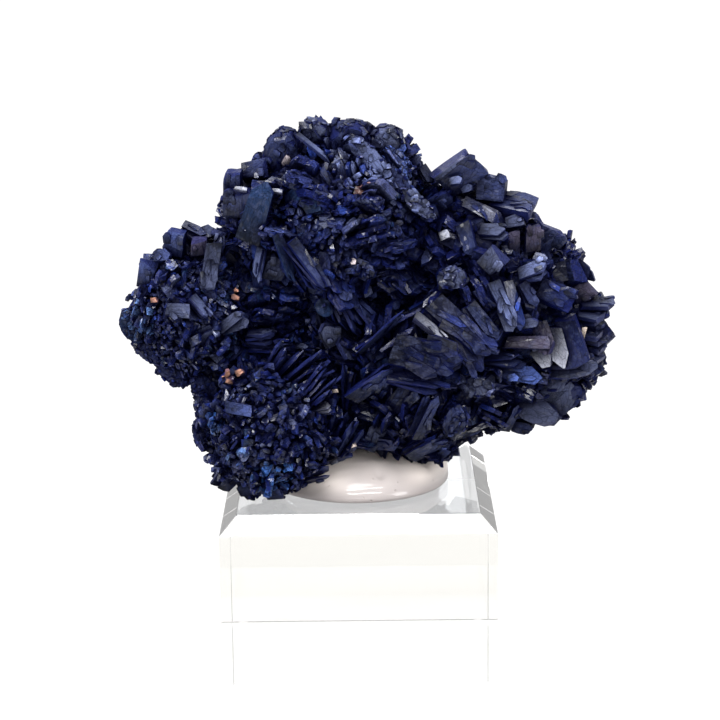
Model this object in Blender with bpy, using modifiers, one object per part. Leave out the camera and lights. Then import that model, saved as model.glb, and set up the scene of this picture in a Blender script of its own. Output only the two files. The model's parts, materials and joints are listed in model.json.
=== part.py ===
"""Azurite crystal cluster on a puck of mounting putty, on a clear acrylic display block.

The cluster is one natural piece: rounded lobes that grew into each other, each covered with tabular
crystals that stand out from its middle like the leaves of a book. Every crystal here is a flat-faced
six-sided tablet, and all of them are fused to the lobes in one solid. The putty is a ball pressed flat,
whose mound fits a seat in the underside of the cluster, and the block is a square of clear acrylic with
a bevelled top edge.

Frame: +Z up, +X right, +Y away from the front; the origin is the middle of the block's bottom face.
"""

import math
from collections import namedtuple

import bmesh
import bpy
import numpy as np
from mathutils import Matrix, Vector

MM = 0.001
SCREW_MERGE = 0.01 * MM

# Driving dimensions, in millimetres.
BLOCK_SIDE = 50.8
BLOCK_HEIGHT = 31.75
BLOCK_BEVEL = 3.1
GAP = 0.3  # kept between pieces that touch
SEAT_FOOT = 1.0  # how far the cutter of the cluster's seat reaches below the block's top

# The putty's outline from its axis out and down to its foot: radius, then height over the block.
PUTTY_PROFILE = (
    (0.0, 7.8),
    (6.0, 7.2),
    (11.0, 5.6),
    (15.0, 4.0),
    (17.0, 2.8),
    (17.5, 1.6),
    (16.8, 0.5),
    (16.0, 0.0),
)
PUTTY_SIDES = 32

# A lobe: the middle and half axes of the mass that its crystals grow from, how many crystals a whole
# ball of it would carry, and the length, width and thickness of a middling one.
Lobe = namedtuple("Lobe", "middle radii count size")
LOBES = {
    "crown": Lobe((-3.0, 1.0, 81.0), (17.5, 17.0, 16.5), 50, (10.0, 9.0, 3.2)),
    "crown_left": Lobe((-14.0, 1.0, 79.5), (9.5, 12.0, 11.5), 26, (9.0, 7.5, 3.0)),
    "saddle": Lobe((18.5, 1.0, 79.0), (9.0, 11.0, 8.5), 14, (8.5, 7.0, 3.0)),
    "right": Lobe((24.5, 1.5, 66.5), (16.5, 16.0, 16.0), 44, (10.0, 9.0, 3.6)),
    "right_rim": Lobe((34.0, 0.0, 59.5), (11.5, 11.0, 12.5), 26, (9.5, 8.0, 3.4)),
    "middle": Lobe((11.5, -1.0, 53.0), (17.0, 16.5, 15.5), 42, (10.0, 8.5, 3.2)),
    "left": Lobe((-29.5, 0.5, 65.0), (12.0, 12.5, 12.5), 40, (7.0, 6.5, 3.0)),
    "low_left": Lobe((-16.0, -12.0, 45.0), (12.0, 12.0, 12.0), 44, (6.4, 6.0, 2.8)),
    "heart": Lobe((-12.0, 4.0, 60.0), (17.0, 13.5, 14.0), 30, (9.5, 7.5, 3.0)),
}
LOBE_DIVISIONS = 2
PATCHES = 7  # patches of a lobe within which its crystals stand side by side
SPREAD = 0.10  # of the spots about an even spacing, in radians
LEAN_SPREAD = 0.16
TURN_SPREAD = 0.22
SIZE_RANGE = ((0.86, 0.75, 0.7), (1.14, 1.2, 1.3))  # shares of a middling length, width and thickness
TURN_FROM = (0.31, 0.17, 0.93)  # no crystal's long axis lies along this, so its turn is counted from it
SEED = 11

ROOT = 0.56  # share of a crystal's length that is buried in its lobe
BURIED = 0.9  # a spot this far inside another lobe, as a share of its radius, grows no crystal
CROWDED = 4.5  # mm between a spot and the middle of a large crystal, under which it grows none either
FACE_SHARE = 0.78  # of a crystal's smaller flat face to its larger one
CORNER_SHARE = 0.9  # how far its outline's corners reach across, as a share of the outline's half width
LOWEST_TIP = BLOCK_HEIGHT + 0.9

# Large crystals that stand out: the middle, then in degrees the slope of the long axis in the front
# view, its lean to the front and the flat face's turn away from the front about that axis, and last
# the length, width and thickness.
LARGE_CRYSTALS = {
    "peak": ((19.5, -3.0, 90.5), (60, 10, 35), (12.5, 6.0, 4.0)),
    "peak_foot": ((16.0, -4.0, 86.5), (40, 10, 20), (8.0, 5.5, 3.0)),
    "peak_block": ((25.5, -3.0, 87.0), (60, 10, 20), (9.0, 5.5, 3.5)),
    "shelf": ((30.0, -4.0, 84.0), (-5, 5, 65), (9.5, 6.0, 3.0)),
    "slope_blade": ((24.0, -6.5, 84.0), (-25, 15, 30), (9.5, 3.5, 2.0)),
    "grey_plate": ((25.0, -9.0, 81.0), (10, 25, 15), (6.5, 5.0, 2.0)),
    "corner_block": ((33.0, -5.0, 79.5), (50, 15, 25), (8.5, 6.0, 3.0)),
    "pillar": ((20.5, -11.5, 79.0), (-80, 20, 25), (9.0, 4.0, 2.5)),
    "step_block": ((25.0, -13.0, 76.5), (30, 30, 15), (6.0, 5.0, 2.5)),
    "bright_stack": ((33.0, -12.0, 75.0), (25, 20, 50), (7.5, 4.5, 2.5)),
    "navy_plate": ((36.5, -11.0, 69.5), (-20, 20, 15), (7.5, 5.0, 2.5)),
    "rib_left": ((26.5, -15.5, 68.5), (-70, 15, 35), (10.0, 4.0, 2.0)),
    "rib_right": ((31.0, -14.5, 68.0), (-70, 15, 35), (9.5, 4.0, 2.0)),
    "round_plate": ((17.5, -13.0, 73.5), (10, 45, 30), (5.5, 4.5, 2.0)),
    "long_blade": ((18.0, -15.0, 64.0), (-50, 15, 30), (15.0, 5.0, 2.0)),
    "second_blade": ((23.0, -16.0, 65.0), (-55, 15, 30), (12.0, 4.0, 2.0)),
    "needle_blade": ((8.0, -15.0, 65.5), (45, 10, 70), (13.0, 5.0, 1.5)),
    "thin_blade": ((14.0, -16.0, 64.5), (-40, 10, 75), (9.0, 4.5, 1.5)),
    "shield": ((12.0, -18.5, 59.0), (-15, 10, 10), (15.5, 9.5, 2.0)),
    "bar": ((31.0, -13.0, 62.0), (0, 10, 25), (10.0, 4.0, 3.0)),
    "mirror_plate": ((37.0, -11.5, 61.0), (75, 15, 10), (9.5, 7.5, 2.0)),
    "ledge": ((31.5, -10.5, 55.5), (-5, 10, 30), (10.0, 4.0, 2.0)),
    "fan_left": ((33.5, -5.0, 48.5), (70, 20, 20), (11.5, 8.5, 2.5)),
    "fan_right": ((39.0, -4.0, 49.5), (35, 15, 15), (11.5, 8.5, 2.5)),
    "fan_low": ((35.0, -3.0, 45.0), (10, 10, 30), (13.0, 6.5, 2.5)),
    "plunge_blade": ((11.5, -18.0, 50.5), (65, 15, 25), (12.0, 5.0, 2.0)),
    "edge_blade": ((26.0, -4.0, 44.0), (20, 10, 60), (11.0, 6.0, 2.5)),
    "under_plate": ((20.5, -6.0, 42.5), (25, 10, 30), (9.0, 6.0, 2.5)),
    "slant_plate": ((3.5, -16.5, 55.5), (40, 15, 35), (12.0, 6.0, 2.0)),
    "lump": ((18.5, -13.5, 46.5), (80, 30, 15), (6.5, 5.0, 3.0)),
    "low_blade": ((13.0, -12.5, 42.5), (35, 10, 30), (9.5, 5.0, 2.5)),
    "under_blade": ((6.0, -12.0, 41.0), (-10, 10, 30), (9.0, 5.5, 2.5)),
    "under_lump": ((16.0, -9.0, 39.5), (10, 10, 30), (7.0, 5.0, 3.0)),
    "dome_plate": ((-13.0, -2.0, 96.0), (60, 20, 10), (8.5, 6.5, 2.5)),
    "dome_edge": ((-7.5, -4.0, 97.0), (-30, 10, 60), (8.5, 4.5, 2.0)),
    "dome_round": ((5.5, -2.0, 95.5), (60, 20, 15), (8.5, 7.0, 3.0)),
    "dome_side": ((11.0, -2.0, 90.0), (50, 10, 20), (8.0, 6.0, 2.5)),
    "dome_middle": ((-0.5, -1.0, 97.0), (60, 25, 15), (8.5, 7.5, 3.0)),
    "left_box": ((-22.0, -4.0, 87.0), (85, 10, 20), (8.0, 5.5, 3.0)),
    "left_box_top": ((-19.5, -1.0, 91.0), (60, 15, 25), (6.5, 5.0, 3.0)),
    "teal_plate": ((-17.0, -11.0, 86.0), (60, 10, 20), (12.0, 5.5, 2.0)),
    "flat_plate": ((-7.0, -14.0, 89.0), (40, 35, 15), (5.5, 5.0, 2.0)),
    "rim_plate": ((-15.0, -11.0, 76.0), (60, 20, 20), (7.5, 6.5, 2.0)),
    "spear_plate": ((-26.0, -7.5, 76.0), (70, 10, 30), (10.5, 4.0, 2.0)),
    "stack_block": ((-32.0, -12.0, 68.5), (-5, 15, 20), (6.5, 4.0, 3.0)),
    "flat_grey": ((-5.5, -9.0, 64.0), (20, 20, 15), (6.5, 5.0, 2.0)),
    "left_ridge": ((-34.5, -2.0, 76.5), (50, 15, 20), (8.0, 5.5, 3.0)),
    "left_ridge_top": ((-29.0, -2.0, 79.0), (70, 15, 25), (7.5, 5.5, 3.0)),
    "notch_block": ((-28.0, -4.0, 50.5), (20, 10, 30), (7.5, 5.5, 3.0)),
    "low_corner": ((-24.5, -12.0, 36.5), (60, 10, 20), (7.5, 6.0, 3.0)),
    "low_toe": ((-20.5, -15.0, 35.0), (20, 10, 20), (6.5, 5.5, 3.0)),
    "low_foot": ((-13.5, -18.0, 35.5), (10, 15, 25), (7.5, 5.5, 2.5)),
    "low_heel": ((-8.0, -17.0, 38.5), (30, 15, 25), (7.0, 5.0, 2.5)),
    "low_web": ((-3.5, -13.5, 42.0), (30, 10, 30), (9.0, 6.0, 3.0)),
    "rim_rib_high": ((43.5, -2.5, 67.0), (20, 10, 35), (7.0, 6.5, 3.0)),
    "rim_rib": ((45.0, -2.5, 60.5), (0, 10, 35), (7.0, 6.5, 3.0)),
    "rim_rib_low": ((44.0, -2.5, 54.5), (-20, 10, 35), (7.0, 6.5, 3.0)),
}

SMALL_SIDES = 5  # of a small crystal's outline
LARGE_SIDES = 6

Crystal = namedtuple("Crystal", "middle along flat size sides")


def clear_scene():
    """Removes whatever the file opened with."""
    for obj in list(bpy.data.objects):
        bpy.data.objects.remove(obj)


def new_collection(name):
    collection = bpy.data.collections.new(name)
    bpy.context.scene.collection.children.link(collection)
    return collection


def new_material(name, colour, roughness, transmission=0.0, ior=1.5):
    material = bpy.data.materials.new(name)
    material.use_nodes = True
    shader = material.node_tree.nodes["Principled BSDF"]
    shader.inputs["Base Color"].default_value = (*colour, 1.0)
    shader.inputs["Roughness"].default_value = roughness
    shader.inputs["Transmission Weight"].default_value = transmission
    shader.inputs["IOR"].default_value = ior
    return material


def new_object(name, mesh, collection, material=None):
    obj = bpy.data.objects.new(name, mesh)
    collection.objects.link(obj)
    if material:
        mesh.materials.append(material)
    return obj


def mesh_from(bm, name):
    mesh = bpy.data.meshes.new(name)
    bm.to_mesh(mesh)
    bm.free()
    return mesh


def as_tool(obj):
    """Marks an object as a helper that shapes another one and is not part of the model."""
    obj.hide_render = True
    obj.display_type = "WIRE"
    return obj


def add_boolean(obj, other, operation, joins_itself=False):
    modifier = obj.modifiers.new(operation.lower(), "BOOLEAN")
    modifier.operation = operation
    modifier.object = other
    modifier.use_self = joins_itself


def acrylic_block(collection):
    """The square block: its top rim is bevelled at 45 degrees, and it stands on the origin."""
    side = BLOCK_SIDE * MM
    height = BLOCK_HEIGHT * MM
    bm = bmesh.new()
    bmesh.ops.create_cube(bm, size=1.0)
    bmesh.ops.scale(bm, vec=(side, side, height), verts=bm.verts)
    bmesh.ops.translate(bm, vec=(0, 0, height / 2), verts=bm.verts)
    rim = [edge for edge in bm.edges if all(vert.co.z > height / 2 for vert in edge.verts)]
    bmesh.ops.bevel(bm, geom=rim, offset=BLOCK_BEVEL * MM, offset_type="OFFSET", segments=1, affect="EDGES")
    clear = new_material("clear_acrylic", (0.96, 0.97, 0.98), 0.03, transmission=1.0, ior=1.49)
    return new_object("acrylic_block", mesh_from(bm, "acrylic_block"), collection, clear)


def turned(name, profile, collection):
    """A solid of revolution about Z from a profile that runs from the top of its axis down its outer side."""
    points = [Vector((radius * MM, 0, height * MM)) for radius, height in profile]
    points.append(Vector((0, 0, profile[-1][1] * MM)))
    bm = bmesh.new()
    verts = [bm.verts.new(point) for point in points]
    for start, end in zip(verts, verts[1:]):
        bm.edges.new((start, end))
    obj = new_object(name, mesh_from(bm, name), collection)
    screw = obj.modifiers.new("turn", "SCREW")
    screw.steps = screw.render_steps = PUTTY_SIDES
    screw.use_merge_vertices = True
    screw.merge_threshold = SCREW_MERGE
    return obj


def putty_puck(collection):
    """The pressed ball of putty, the gap above the block."""
    profile = [(radius, BLOCK_HEIGHT + GAP + height) for radius, height in PUTTY_PROFILE]
    obj = turned("putty_puck", profile, collection)
    obj.data.materials.append(new_material("mounting_putty", (0.72, 0.64, 0.6), 0.25))
    return obj


def putty_seat(collection):
    """The putty's own form, grown by the gap and carried down below the block's top, to cut its seat."""
    profile = [(radius + GAP, BLOCK_HEIGHT + 2 * GAP + height) for radius, height in PUTTY_PROFILE[1:]]
    top = (0.0, BLOCK_HEIGHT + 2 * GAP + PUTTY_PROFILE[0][1])
    foot = (profile[-1][0], BLOCK_HEIGHT - SEAT_FOOT)
    return as_tool(turned("putty_seat", [top, *profile, foot], collection))


def lobe_share(lobe, point):
    """How far out from the lobe's middle the point lies, as a share of the lobe's own radius there."""
    return np.linalg.norm((point - np.array(lobe.middle)) / np.array(lobe.radii))


def even_directions(count):
    """Unit vectors spread evenly over a ball, along a spiral from pole to pole."""
    golden = math.pi * (3 - math.sqrt(5))
    for i in range(count):
        height = 1 - 2 * (i + 0.5) / count
        around = math.sqrt(1 - height * height)
        yield np.array((around * math.cos(i * golden), around * math.sin(i * golden), height))


def unit(vector):
    return vector / np.linalg.norm(vector)


def lobe_crystals(name, lobe, rng):
    """The crystals of one lobe: each stands out from the lobe, side by side with the others of its patch."""
    middle, radii = np.array(lobe.middle), np.array(lobe.radii)
    others = [other for key, other in LOBES.items() if key != name]
    large = np.array([facts[0] for facts in LARGE_CRYSTALS.values()])
    patch_middles = [unit(rng.normal(size=3)) for _ in range(PATCHES)]
    patch_turns = rng.uniform(0, math.pi, PATCHES)
    for direction in even_directions(lobe.count):
        direction = unit(direction + rng.normal(0, SPREAD, 3))
        turn = patch_turns[np.argmax([direction @ m for m in patch_middles])] + rng.normal(0, TURN_SPREAD)
        along = unit(direction + rng.normal(0, LEAN_SPREAD, 3))
        length, width, thickness = np.array(lobe.size) * rng.uniform(*SIZE_RANGE)
        spot = middle + direction * radii
        buried = min(lobe_share(other, spot) for other in others) < BURIED
        if buried or np.linalg.norm(large - spot, axis=1).min() < CROWDED:
            continue
        side = unit(np.cross(along, TURN_FROM))
        flat = math.cos(turn) * side + math.sin(turn) * np.cross(along, side)
        middle_of_it = spot + along * length * (0.5 - ROOT)
        if (middle_of_it + along * length / 2)[2] > LOWEST_TIP:
            yield Crystal(middle_of_it, along, flat, (length, width, thickness), SMALL_SIDES)


def large_crystal(middle, angles, size):
    """A crystal given as LARGE_CRYSTALS gives it."""
    slope, lean, turn = (math.radians(angle) for angle in angles)
    front = np.array((0.0, -1.0, 0.0))
    in_view = np.array((math.cos(slope), 0.0, math.sin(slope)))
    along = math.cos(lean) * in_view + math.sin(lean) * front
    facing = unit(front - (front @ along) * along)
    flat = math.cos(turn) * facing + math.sin(turn) * np.cross(along, facing)
    return Crystal(np.array(middle), along, flat, size, LARGE_SIDES)


def add_tablet(bm, crystal):
    """A flat-faced tablet, whose outline has a corner on its long axis and whose one flat is the smaller."""
    length, width, thickness = crystal.size
    across = np.cross(crystal.flat, crystal.along)
    columns = (crystal.along * length / 2, across * width / (2 * CORNER_SHARE), crystal.flat * thickness)
    place = Matrix([[columns[c][r] * MM for c in range(3)] for r in range(3)]).to_4x4()
    place.translation = Vector(crystal.middle * MM)
    bmesh.ops.create_cone(
        bm, cap_ends=True, segments=crystal.sides, radius1=1.0, radius2=FACE_SHARE, depth=1.0, matrix=place
    )


def add_lobe(bm, lobe):
    """A faceted ball stretched to the lobe's half axes."""
    place = Matrix.Diagonal([radius * MM for radius in lobe.radii]).to_4x4()
    place.translation = Vector(lobe.middle) * MM
    bmesh.ops.create_icosphere(bm, subdivisions=LOBE_DIVISIONS, radius=1.0, matrix=place)


def outer_skin(mesh):
    """Keeps the largest connected skin of a mesh, which fills the pockets sealed in between crystals."""
    bm = bmesh.new()
    bm.from_mesh(mesh)
    left = set(bm.faces)
    skins = []
    while left:
        skin, edge_of_search = set(), [left.pop()]
        while edge_of_search:
            face = edge_of_search.pop()
            skin.add(face)
            found = {other for edge in face.edges for other in edge.link_faces} & left
            left -= found
            edge_of_search += found
        skins.append(skin)
    skins.sort(key=len)
    bmesh.ops.delete(bm, geom=[face for skin in skins[:-1] for face in skin], context="FACES")
    bm.to_mesh(mesh)
    bm.free()
    return mesh


def joined_mesh(obj):
    """The object's mesh with its modifiers applied, as new data."""
    graph = bpy.context.evaluated_depsgraph_get()
    return bpy.data.meshes.new_from_object(obj.evaluated_get(graph), depsgraph=graph)


def azurite_cluster(collection, tools):
    """The whole stone in one solid: its lobes joined with every crystal on them, less the putty's seat."""
    crystals = [
        crystal
        for index, (name, lobe) in enumerate(LOBES.items())
        for crystal in lobe_crystals(name, lobe, np.random.default_rng([SEED, index]))
    ]
    crystals += [large_crystal(*facts) for facts in LARGE_CRYSTALS.values()]
    first, *rest = LOBES.values()
    bm = bmesh.new()
    add_lobe(bm, first)
    base = as_tool(new_object("first_lobe", mesh_from(bm, "first_lobe"), tools))
    bm = bmesh.new()
    for lobe in rest:
        add_lobe(bm, lobe)
    for crystal in crystals:
        add_tablet(bm, crystal)
    grown = as_tool(new_object("grown_on", mesh_from(bm, "grown_on"), tools))
    add_boolean(base, grown, "UNION", joins_itself=True)
    add_boolean(base, putty_seat(tools), "DIFFERENCE")
    mesh = outer_skin(joined_mesh(base))
    blue = new_material("azurite", (0.013, 0.016, 0.05), 0.3)
    return new_object("azurite_cluster", mesh, collection, blue)


def main():
    clear_scene()
    shown = new_collection("azurite_specimen")
    tools = new_collection("cutters")
    acrylic_block(shown)
    putty_puck(shown)
    azurite_cluster(shown, tools)


main()
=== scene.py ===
"""Looks of the azurite specimen: a dark blue crystal cluster held by putty on a clear display block.

Three sub-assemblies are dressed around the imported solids, each by a class of its own: the polished
acrylic block, the pressed puck of mounting putty, and the cluster. The cluster is a rough core that
carries a bed of crystals on each of its lobes. A bed is one mesh, joined from copies of a few crystal
shapes that are modelled once: books of thin plates stand where the solid has its tablets, large crystals
stand where the solid has its large ones, and finer crystals fill the ground in between.
"""

import json
import logging
import math
from collections.abc import Callable, Iterable, Iterator
from dataclasses import dataclass, field
from enum import Enum

import bmesh
import bpy
import numpy as np
from mathutils import Matrix, Vector
from mathutils.bvhtree import BVHTree

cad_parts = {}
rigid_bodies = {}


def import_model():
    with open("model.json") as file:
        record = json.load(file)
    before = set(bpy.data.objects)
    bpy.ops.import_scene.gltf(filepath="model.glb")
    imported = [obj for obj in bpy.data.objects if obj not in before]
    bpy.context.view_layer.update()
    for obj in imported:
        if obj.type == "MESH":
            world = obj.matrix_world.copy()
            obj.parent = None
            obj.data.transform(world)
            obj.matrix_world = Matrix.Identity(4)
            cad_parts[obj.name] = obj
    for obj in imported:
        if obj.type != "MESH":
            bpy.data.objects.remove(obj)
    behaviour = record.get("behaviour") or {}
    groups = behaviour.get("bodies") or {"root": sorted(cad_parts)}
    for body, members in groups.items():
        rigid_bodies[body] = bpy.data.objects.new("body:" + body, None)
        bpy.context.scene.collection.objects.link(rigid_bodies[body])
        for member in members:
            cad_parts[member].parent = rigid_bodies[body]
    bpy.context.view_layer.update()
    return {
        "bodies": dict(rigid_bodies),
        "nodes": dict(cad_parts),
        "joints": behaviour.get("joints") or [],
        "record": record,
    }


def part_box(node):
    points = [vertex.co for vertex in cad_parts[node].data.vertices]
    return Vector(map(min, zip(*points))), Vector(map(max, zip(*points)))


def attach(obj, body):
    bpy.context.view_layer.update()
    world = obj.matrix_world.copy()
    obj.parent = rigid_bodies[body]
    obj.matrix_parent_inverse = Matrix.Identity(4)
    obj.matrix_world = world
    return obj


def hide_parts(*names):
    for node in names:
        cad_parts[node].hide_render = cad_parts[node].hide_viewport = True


LOG = logging.getLogger("azurite_specimen")
MM = 0.001
BODY = "root"
Triple = tuple[float, float, float]


# ---------------------------------------------------------------- shader maths


class Value:
    """A number on a socket, on which Python's operators add the Math nodes."""

    def __init__(self, tree: "Nodes", socket: bpy.types.NodeSocket) -> None:
        """Wraps one output socket of a tree."""
        self.tree = tree
        self.socket = socket

    def maths(self, operation: str, *terms: "Value | float", clamp: bool = False) -> "Value":
        """Adds a Math node.

        Args:
            operation: the Math node's operation.
            terms: its inputs, in order.
            clamp: whether the result is held between 0 and 1.

        Returns:
            The node's result.
        """
        settings = {"operation": operation, "use_clamp": clamp}
        return Value(self.tree, self.tree.node("ShaderNodeMath", settings, dict(enumerate(terms))).outputs[0])

    def __add__(self, other: "Value | float") -> "Value":
        """Sum."""
        return self.maths("ADD", self, other)

    __radd__ = __add__

    def __sub__(self, other: "Value | float") -> "Value":
        """Difference."""
        return self.maths("SUBTRACT", self, other)

    def __rsub__(self, other: float) -> "Value":
        """Difference, from a number."""
        return self.maths("SUBTRACT", other, self)

    def __mul__(self, other: "Value | float") -> "Value":
        """Product."""
        return self.maths("MULTIPLY", self, other)

    __rmul__ = __mul__

    def held(self) -> "Value":
        """The same value, held between 0 and 1."""
        return self.maths("ADD", self, 0.0, clamp=True)

    def step(self, low: float, high: float) -> "Value":
        """A smooth step.

        Args:
            low: the value where the step starts from 0.
            high: the value where it reaches 1.

        Returns:
            A value from 0 to 1.
        """
        settings = {"interpolation_type": "SMOOTHSTEP"}
        inputs = {"Value": self, "From Min": low, "From Max": high}
        return Value(self.tree, self.tree.node("ShaderNodeMapRange", settings, inputs).outputs["Result"])


class Nodes:
    """The nodes of one material or of the surroundings."""

    def __init__(self, tree: bpy.types.NodeTree) -> None:
        """Takes the tree that the nodes are in."""
        self.nodes, self.links = tree.nodes, tree.links

    def node(self, kind: str, settings: dict | None = None, inputs: dict | None = None) -> bpy.types.Node:
        """Adds any node.

        Args:
            kind: the node's type.
            settings: its properties, which are set first.
            inputs: its sockets, by name or place, with their values or links.

        Returns:
            The node.
        """
        node = self.nodes.new(kind)
        for name, setting in (settings or {}).items():
            setattr(node, name, setting)
        for key, value in (inputs or {}).items():
            self.feed(node.inputs[key], value)
        return node

    def feed(self, socket: bpy.types.NodeSocket, value: object) -> None:
        """Links a socket, or sets the value on it.

        Args:
            socket: the input.
            value: what it gets: a value, an output, or a number, colour or vector.
        """
        if isinstance(value, Value):
            value = value.socket
        if isinstance(value, bpy.types.NodeSocket):
            self.links.new(value, socket)
        else:
            socket.default_value = value


class Tree(Nodes):
    """The nodes of one material, with a Principled shader."""

    def __init__(self, name: str) -> None:
        """Starts a material.

        Args:
            name: the material's name.
        """
        self.material = bpy.data.materials.new(name)
        self.material.use_nodes = True
        super().__init__(self.material.node_tree)
        self.shader = self.nodes["Principled BSDF"]

    def finish(self, inputs: dict) -> bpy.types.Material:
        """Feeds the Principled shader's sockets and gives the material."""
        for name, value in inputs.items():
            self.feed(self.shader.inputs[name], value)
        return self.material

    def place(self) -> bpy.types.NodeSocket:
        """Object coordinates, in metres."""
        return self.node("ShaderNodeTexCoord").outputs["Object"]

    def attribute(self, name: str) -> bpy.types.Node:
        """A node that reads one of the mesh's attributes."""
        return self.node("ShaderNodeAttribute", {"attribute_name": name})

    def noise(self, grain_mm: float, detail: float = 2.0, roughness: float = 0.5) -> Value:
        """A noise over Object coordinates.

        Args:
            grain_mm: the size of its patches, in millimetres.
            detail: how many finer layers it has.
            roughness: how strong they are.

        Returns:
            A value around 0.5.
        """
        inputs = {
            "Vector": self.place(),
            "Scale": 1 / (grain_mm * MM),
            "Detail": detail,
            "Roughness": roughness,
        }
        return Value(self, self.node("ShaderNodeTexNoise", None, inputs).outputs[0])

    def hollow(self, reach_mm: float) -> Value:
        """How open the surface is within a reach, by ambient occlusion: 0 within a gap, 1 on a free face."""
        node = self.node("ShaderNodeAmbientOcclusion", {"samples": 4}, {"Distance": reach_mm * MM})
        return Value(self, node.outputs["AO"])

    def stretched(self, attribute: str, size: Triple) -> bpy.types.NodeSocket:
        """A crystal's own coordinates, with a patch of the given size as the unit."""
        own = self.attribute(attribute).outputs["Vector"]
        return self.vector("MULTIPLY", own, tuple(1 / value for value in size))

    def streaks(self, attribute: str, size: Triple, detail: float = 3.0) -> Value:
        """A noise drawn out along each crystal.

        Args:
            attribute: the crystal's own coordinates, in millimetres.
            size: a streak's size along, across and through the crystal, in millimetres.
            detail: how many finer layers it has.

        Returns:
            A value around 0.5.
        """
        place = self.stretched(attribute, size)
        inputs = {"Vector": place, "Scale": 1.0, "Detail": detail, "Roughness": 0.6}
        return Value(self, self.node("ShaderNodeTexNoise", None, inputs).outputs[0])

    def facets(self, attribute: str, size: Triple) -> "Facets":
        """Breaks a surface into small tilted facets, over each crystal's own coordinates.

        Args:
            attribute: the coordinates, in millimetres.
            size: a facet's size along, across and through the crystal, in millimetres.

        Returns:
            The facets' height, gap and chance.
        """
        place = self.stretched(attribute, size)
        cells = self.node("ShaderNodeTexVoronoi", None, {"Vector": place, "Scale": 1.0})
        edges = self.node(
            "ShaderNodeTexVoronoi", {"feature": "DISTANCE_TO_EDGE"}, {"Vector": place, "Scale": 1.0}
        )
        tilt = self.vector("SUBTRACT", cells.outputs["Color"], (0.5, 0.5, 0.5))
        reach = self.vector("MULTIPLY", self.vector("SUBTRACT", place, cells.outputs["Position"]), size)
        height = self.node("ShaderNodeVectorMath", {"operation": "DOT_PRODUCT"}, {0: reach, 1: tilt})
        chance = self.node("ShaderNodeSeparateXYZ", None, {0: cells.outputs["Color"]})
        return Facets(
            Value(self, height.outputs["Value"]),
            Value(self, edges.outputs["Distance"]),
            Value(self, chance.outputs["X"]),
        )

    def vector(self, operation: str, first: object, second: object) -> bpy.types.NodeSocket:
        """Adds a Vector Math node of two vectors and gives its vector."""
        return self.node("ShaderNodeVectorMath", {"operation": operation}, {0: first, 1: second}).outputs[0]

    def distance(self, first: object, second: object) -> Value:
        """The distance between two points."""
        node = self.node("ShaderNodeVectorMath", {"operation": "DISTANCE"}, {0: first, 1: second})
        return Value(self, node.outputs["Value"])

    def height(self) -> Value:
        """The height above the table, from Object coordinates."""
        return Value(self, self.node("ShaderNodeSeparateXYZ", None, {0: self.place()}).outputs["Z"])

    def cells(self, grain_mm: float) -> Value:
        """The distance from the middle of the nearest of scattered cells, over Object coordinates."""
        inputs = {"Vector": self.place(), "Scale": 1 / (grain_mm * MM)}
        return Value(self, self.node("ShaderNodeTexVoronoi", None, inputs).outputs["Distance"])

    def mix(self, share: Value | float, first: object, second: object) -> bpy.types.NodeSocket:
        """Mixes two colours.

        Args:
            share: 0 for the first, 1 for the second.
            first: a colour or a socket.
            second: a colour or a socket.

        Returns:
            The mixed colour's socket.
        """
        node = self.node("ShaderNodeMix", {"data_type": "RGBA"}, {"Factor": share})
        self.feed(node.inputs[6], first)
        self.feed(node.inputs[7], second)
        return node.outputs[2]

    def scaled(self, colour: object, factor: Value) -> bpy.types.NodeSocket:
        """A colour times a value."""
        node = self.node("ShaderNodeVectorMath", {"operation": "SCALE"}, {0: colour, "Scale": factor})
        return node.outputs[0]

    def bump(self, height: Value, depth_mm: float, strength: float = 1.0) -> bpy.types.NodeSocket:
        """A normal from a height map whose full range is depth_mm deep."""
        inputs = {"Height": height, "Distance": depth_mm * MM, "Strength": strength}
        return self.node("ShaderNodeBump", None, inputs).outputs["Normal"]


@dataclass(frozen=True)
class Facets:
    """Small facets: their height in millimetres, how far the nearest gap is, and a number of their own."""

    height: Value
    gap: Value
    chance: Value


def rgba(colour: Triple) -> tuple[float, float, float, float]:
    """A colour with full alpha."""
    return (*colour, 1.0)


# ---------------------------------------------------------------- finishes


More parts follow.
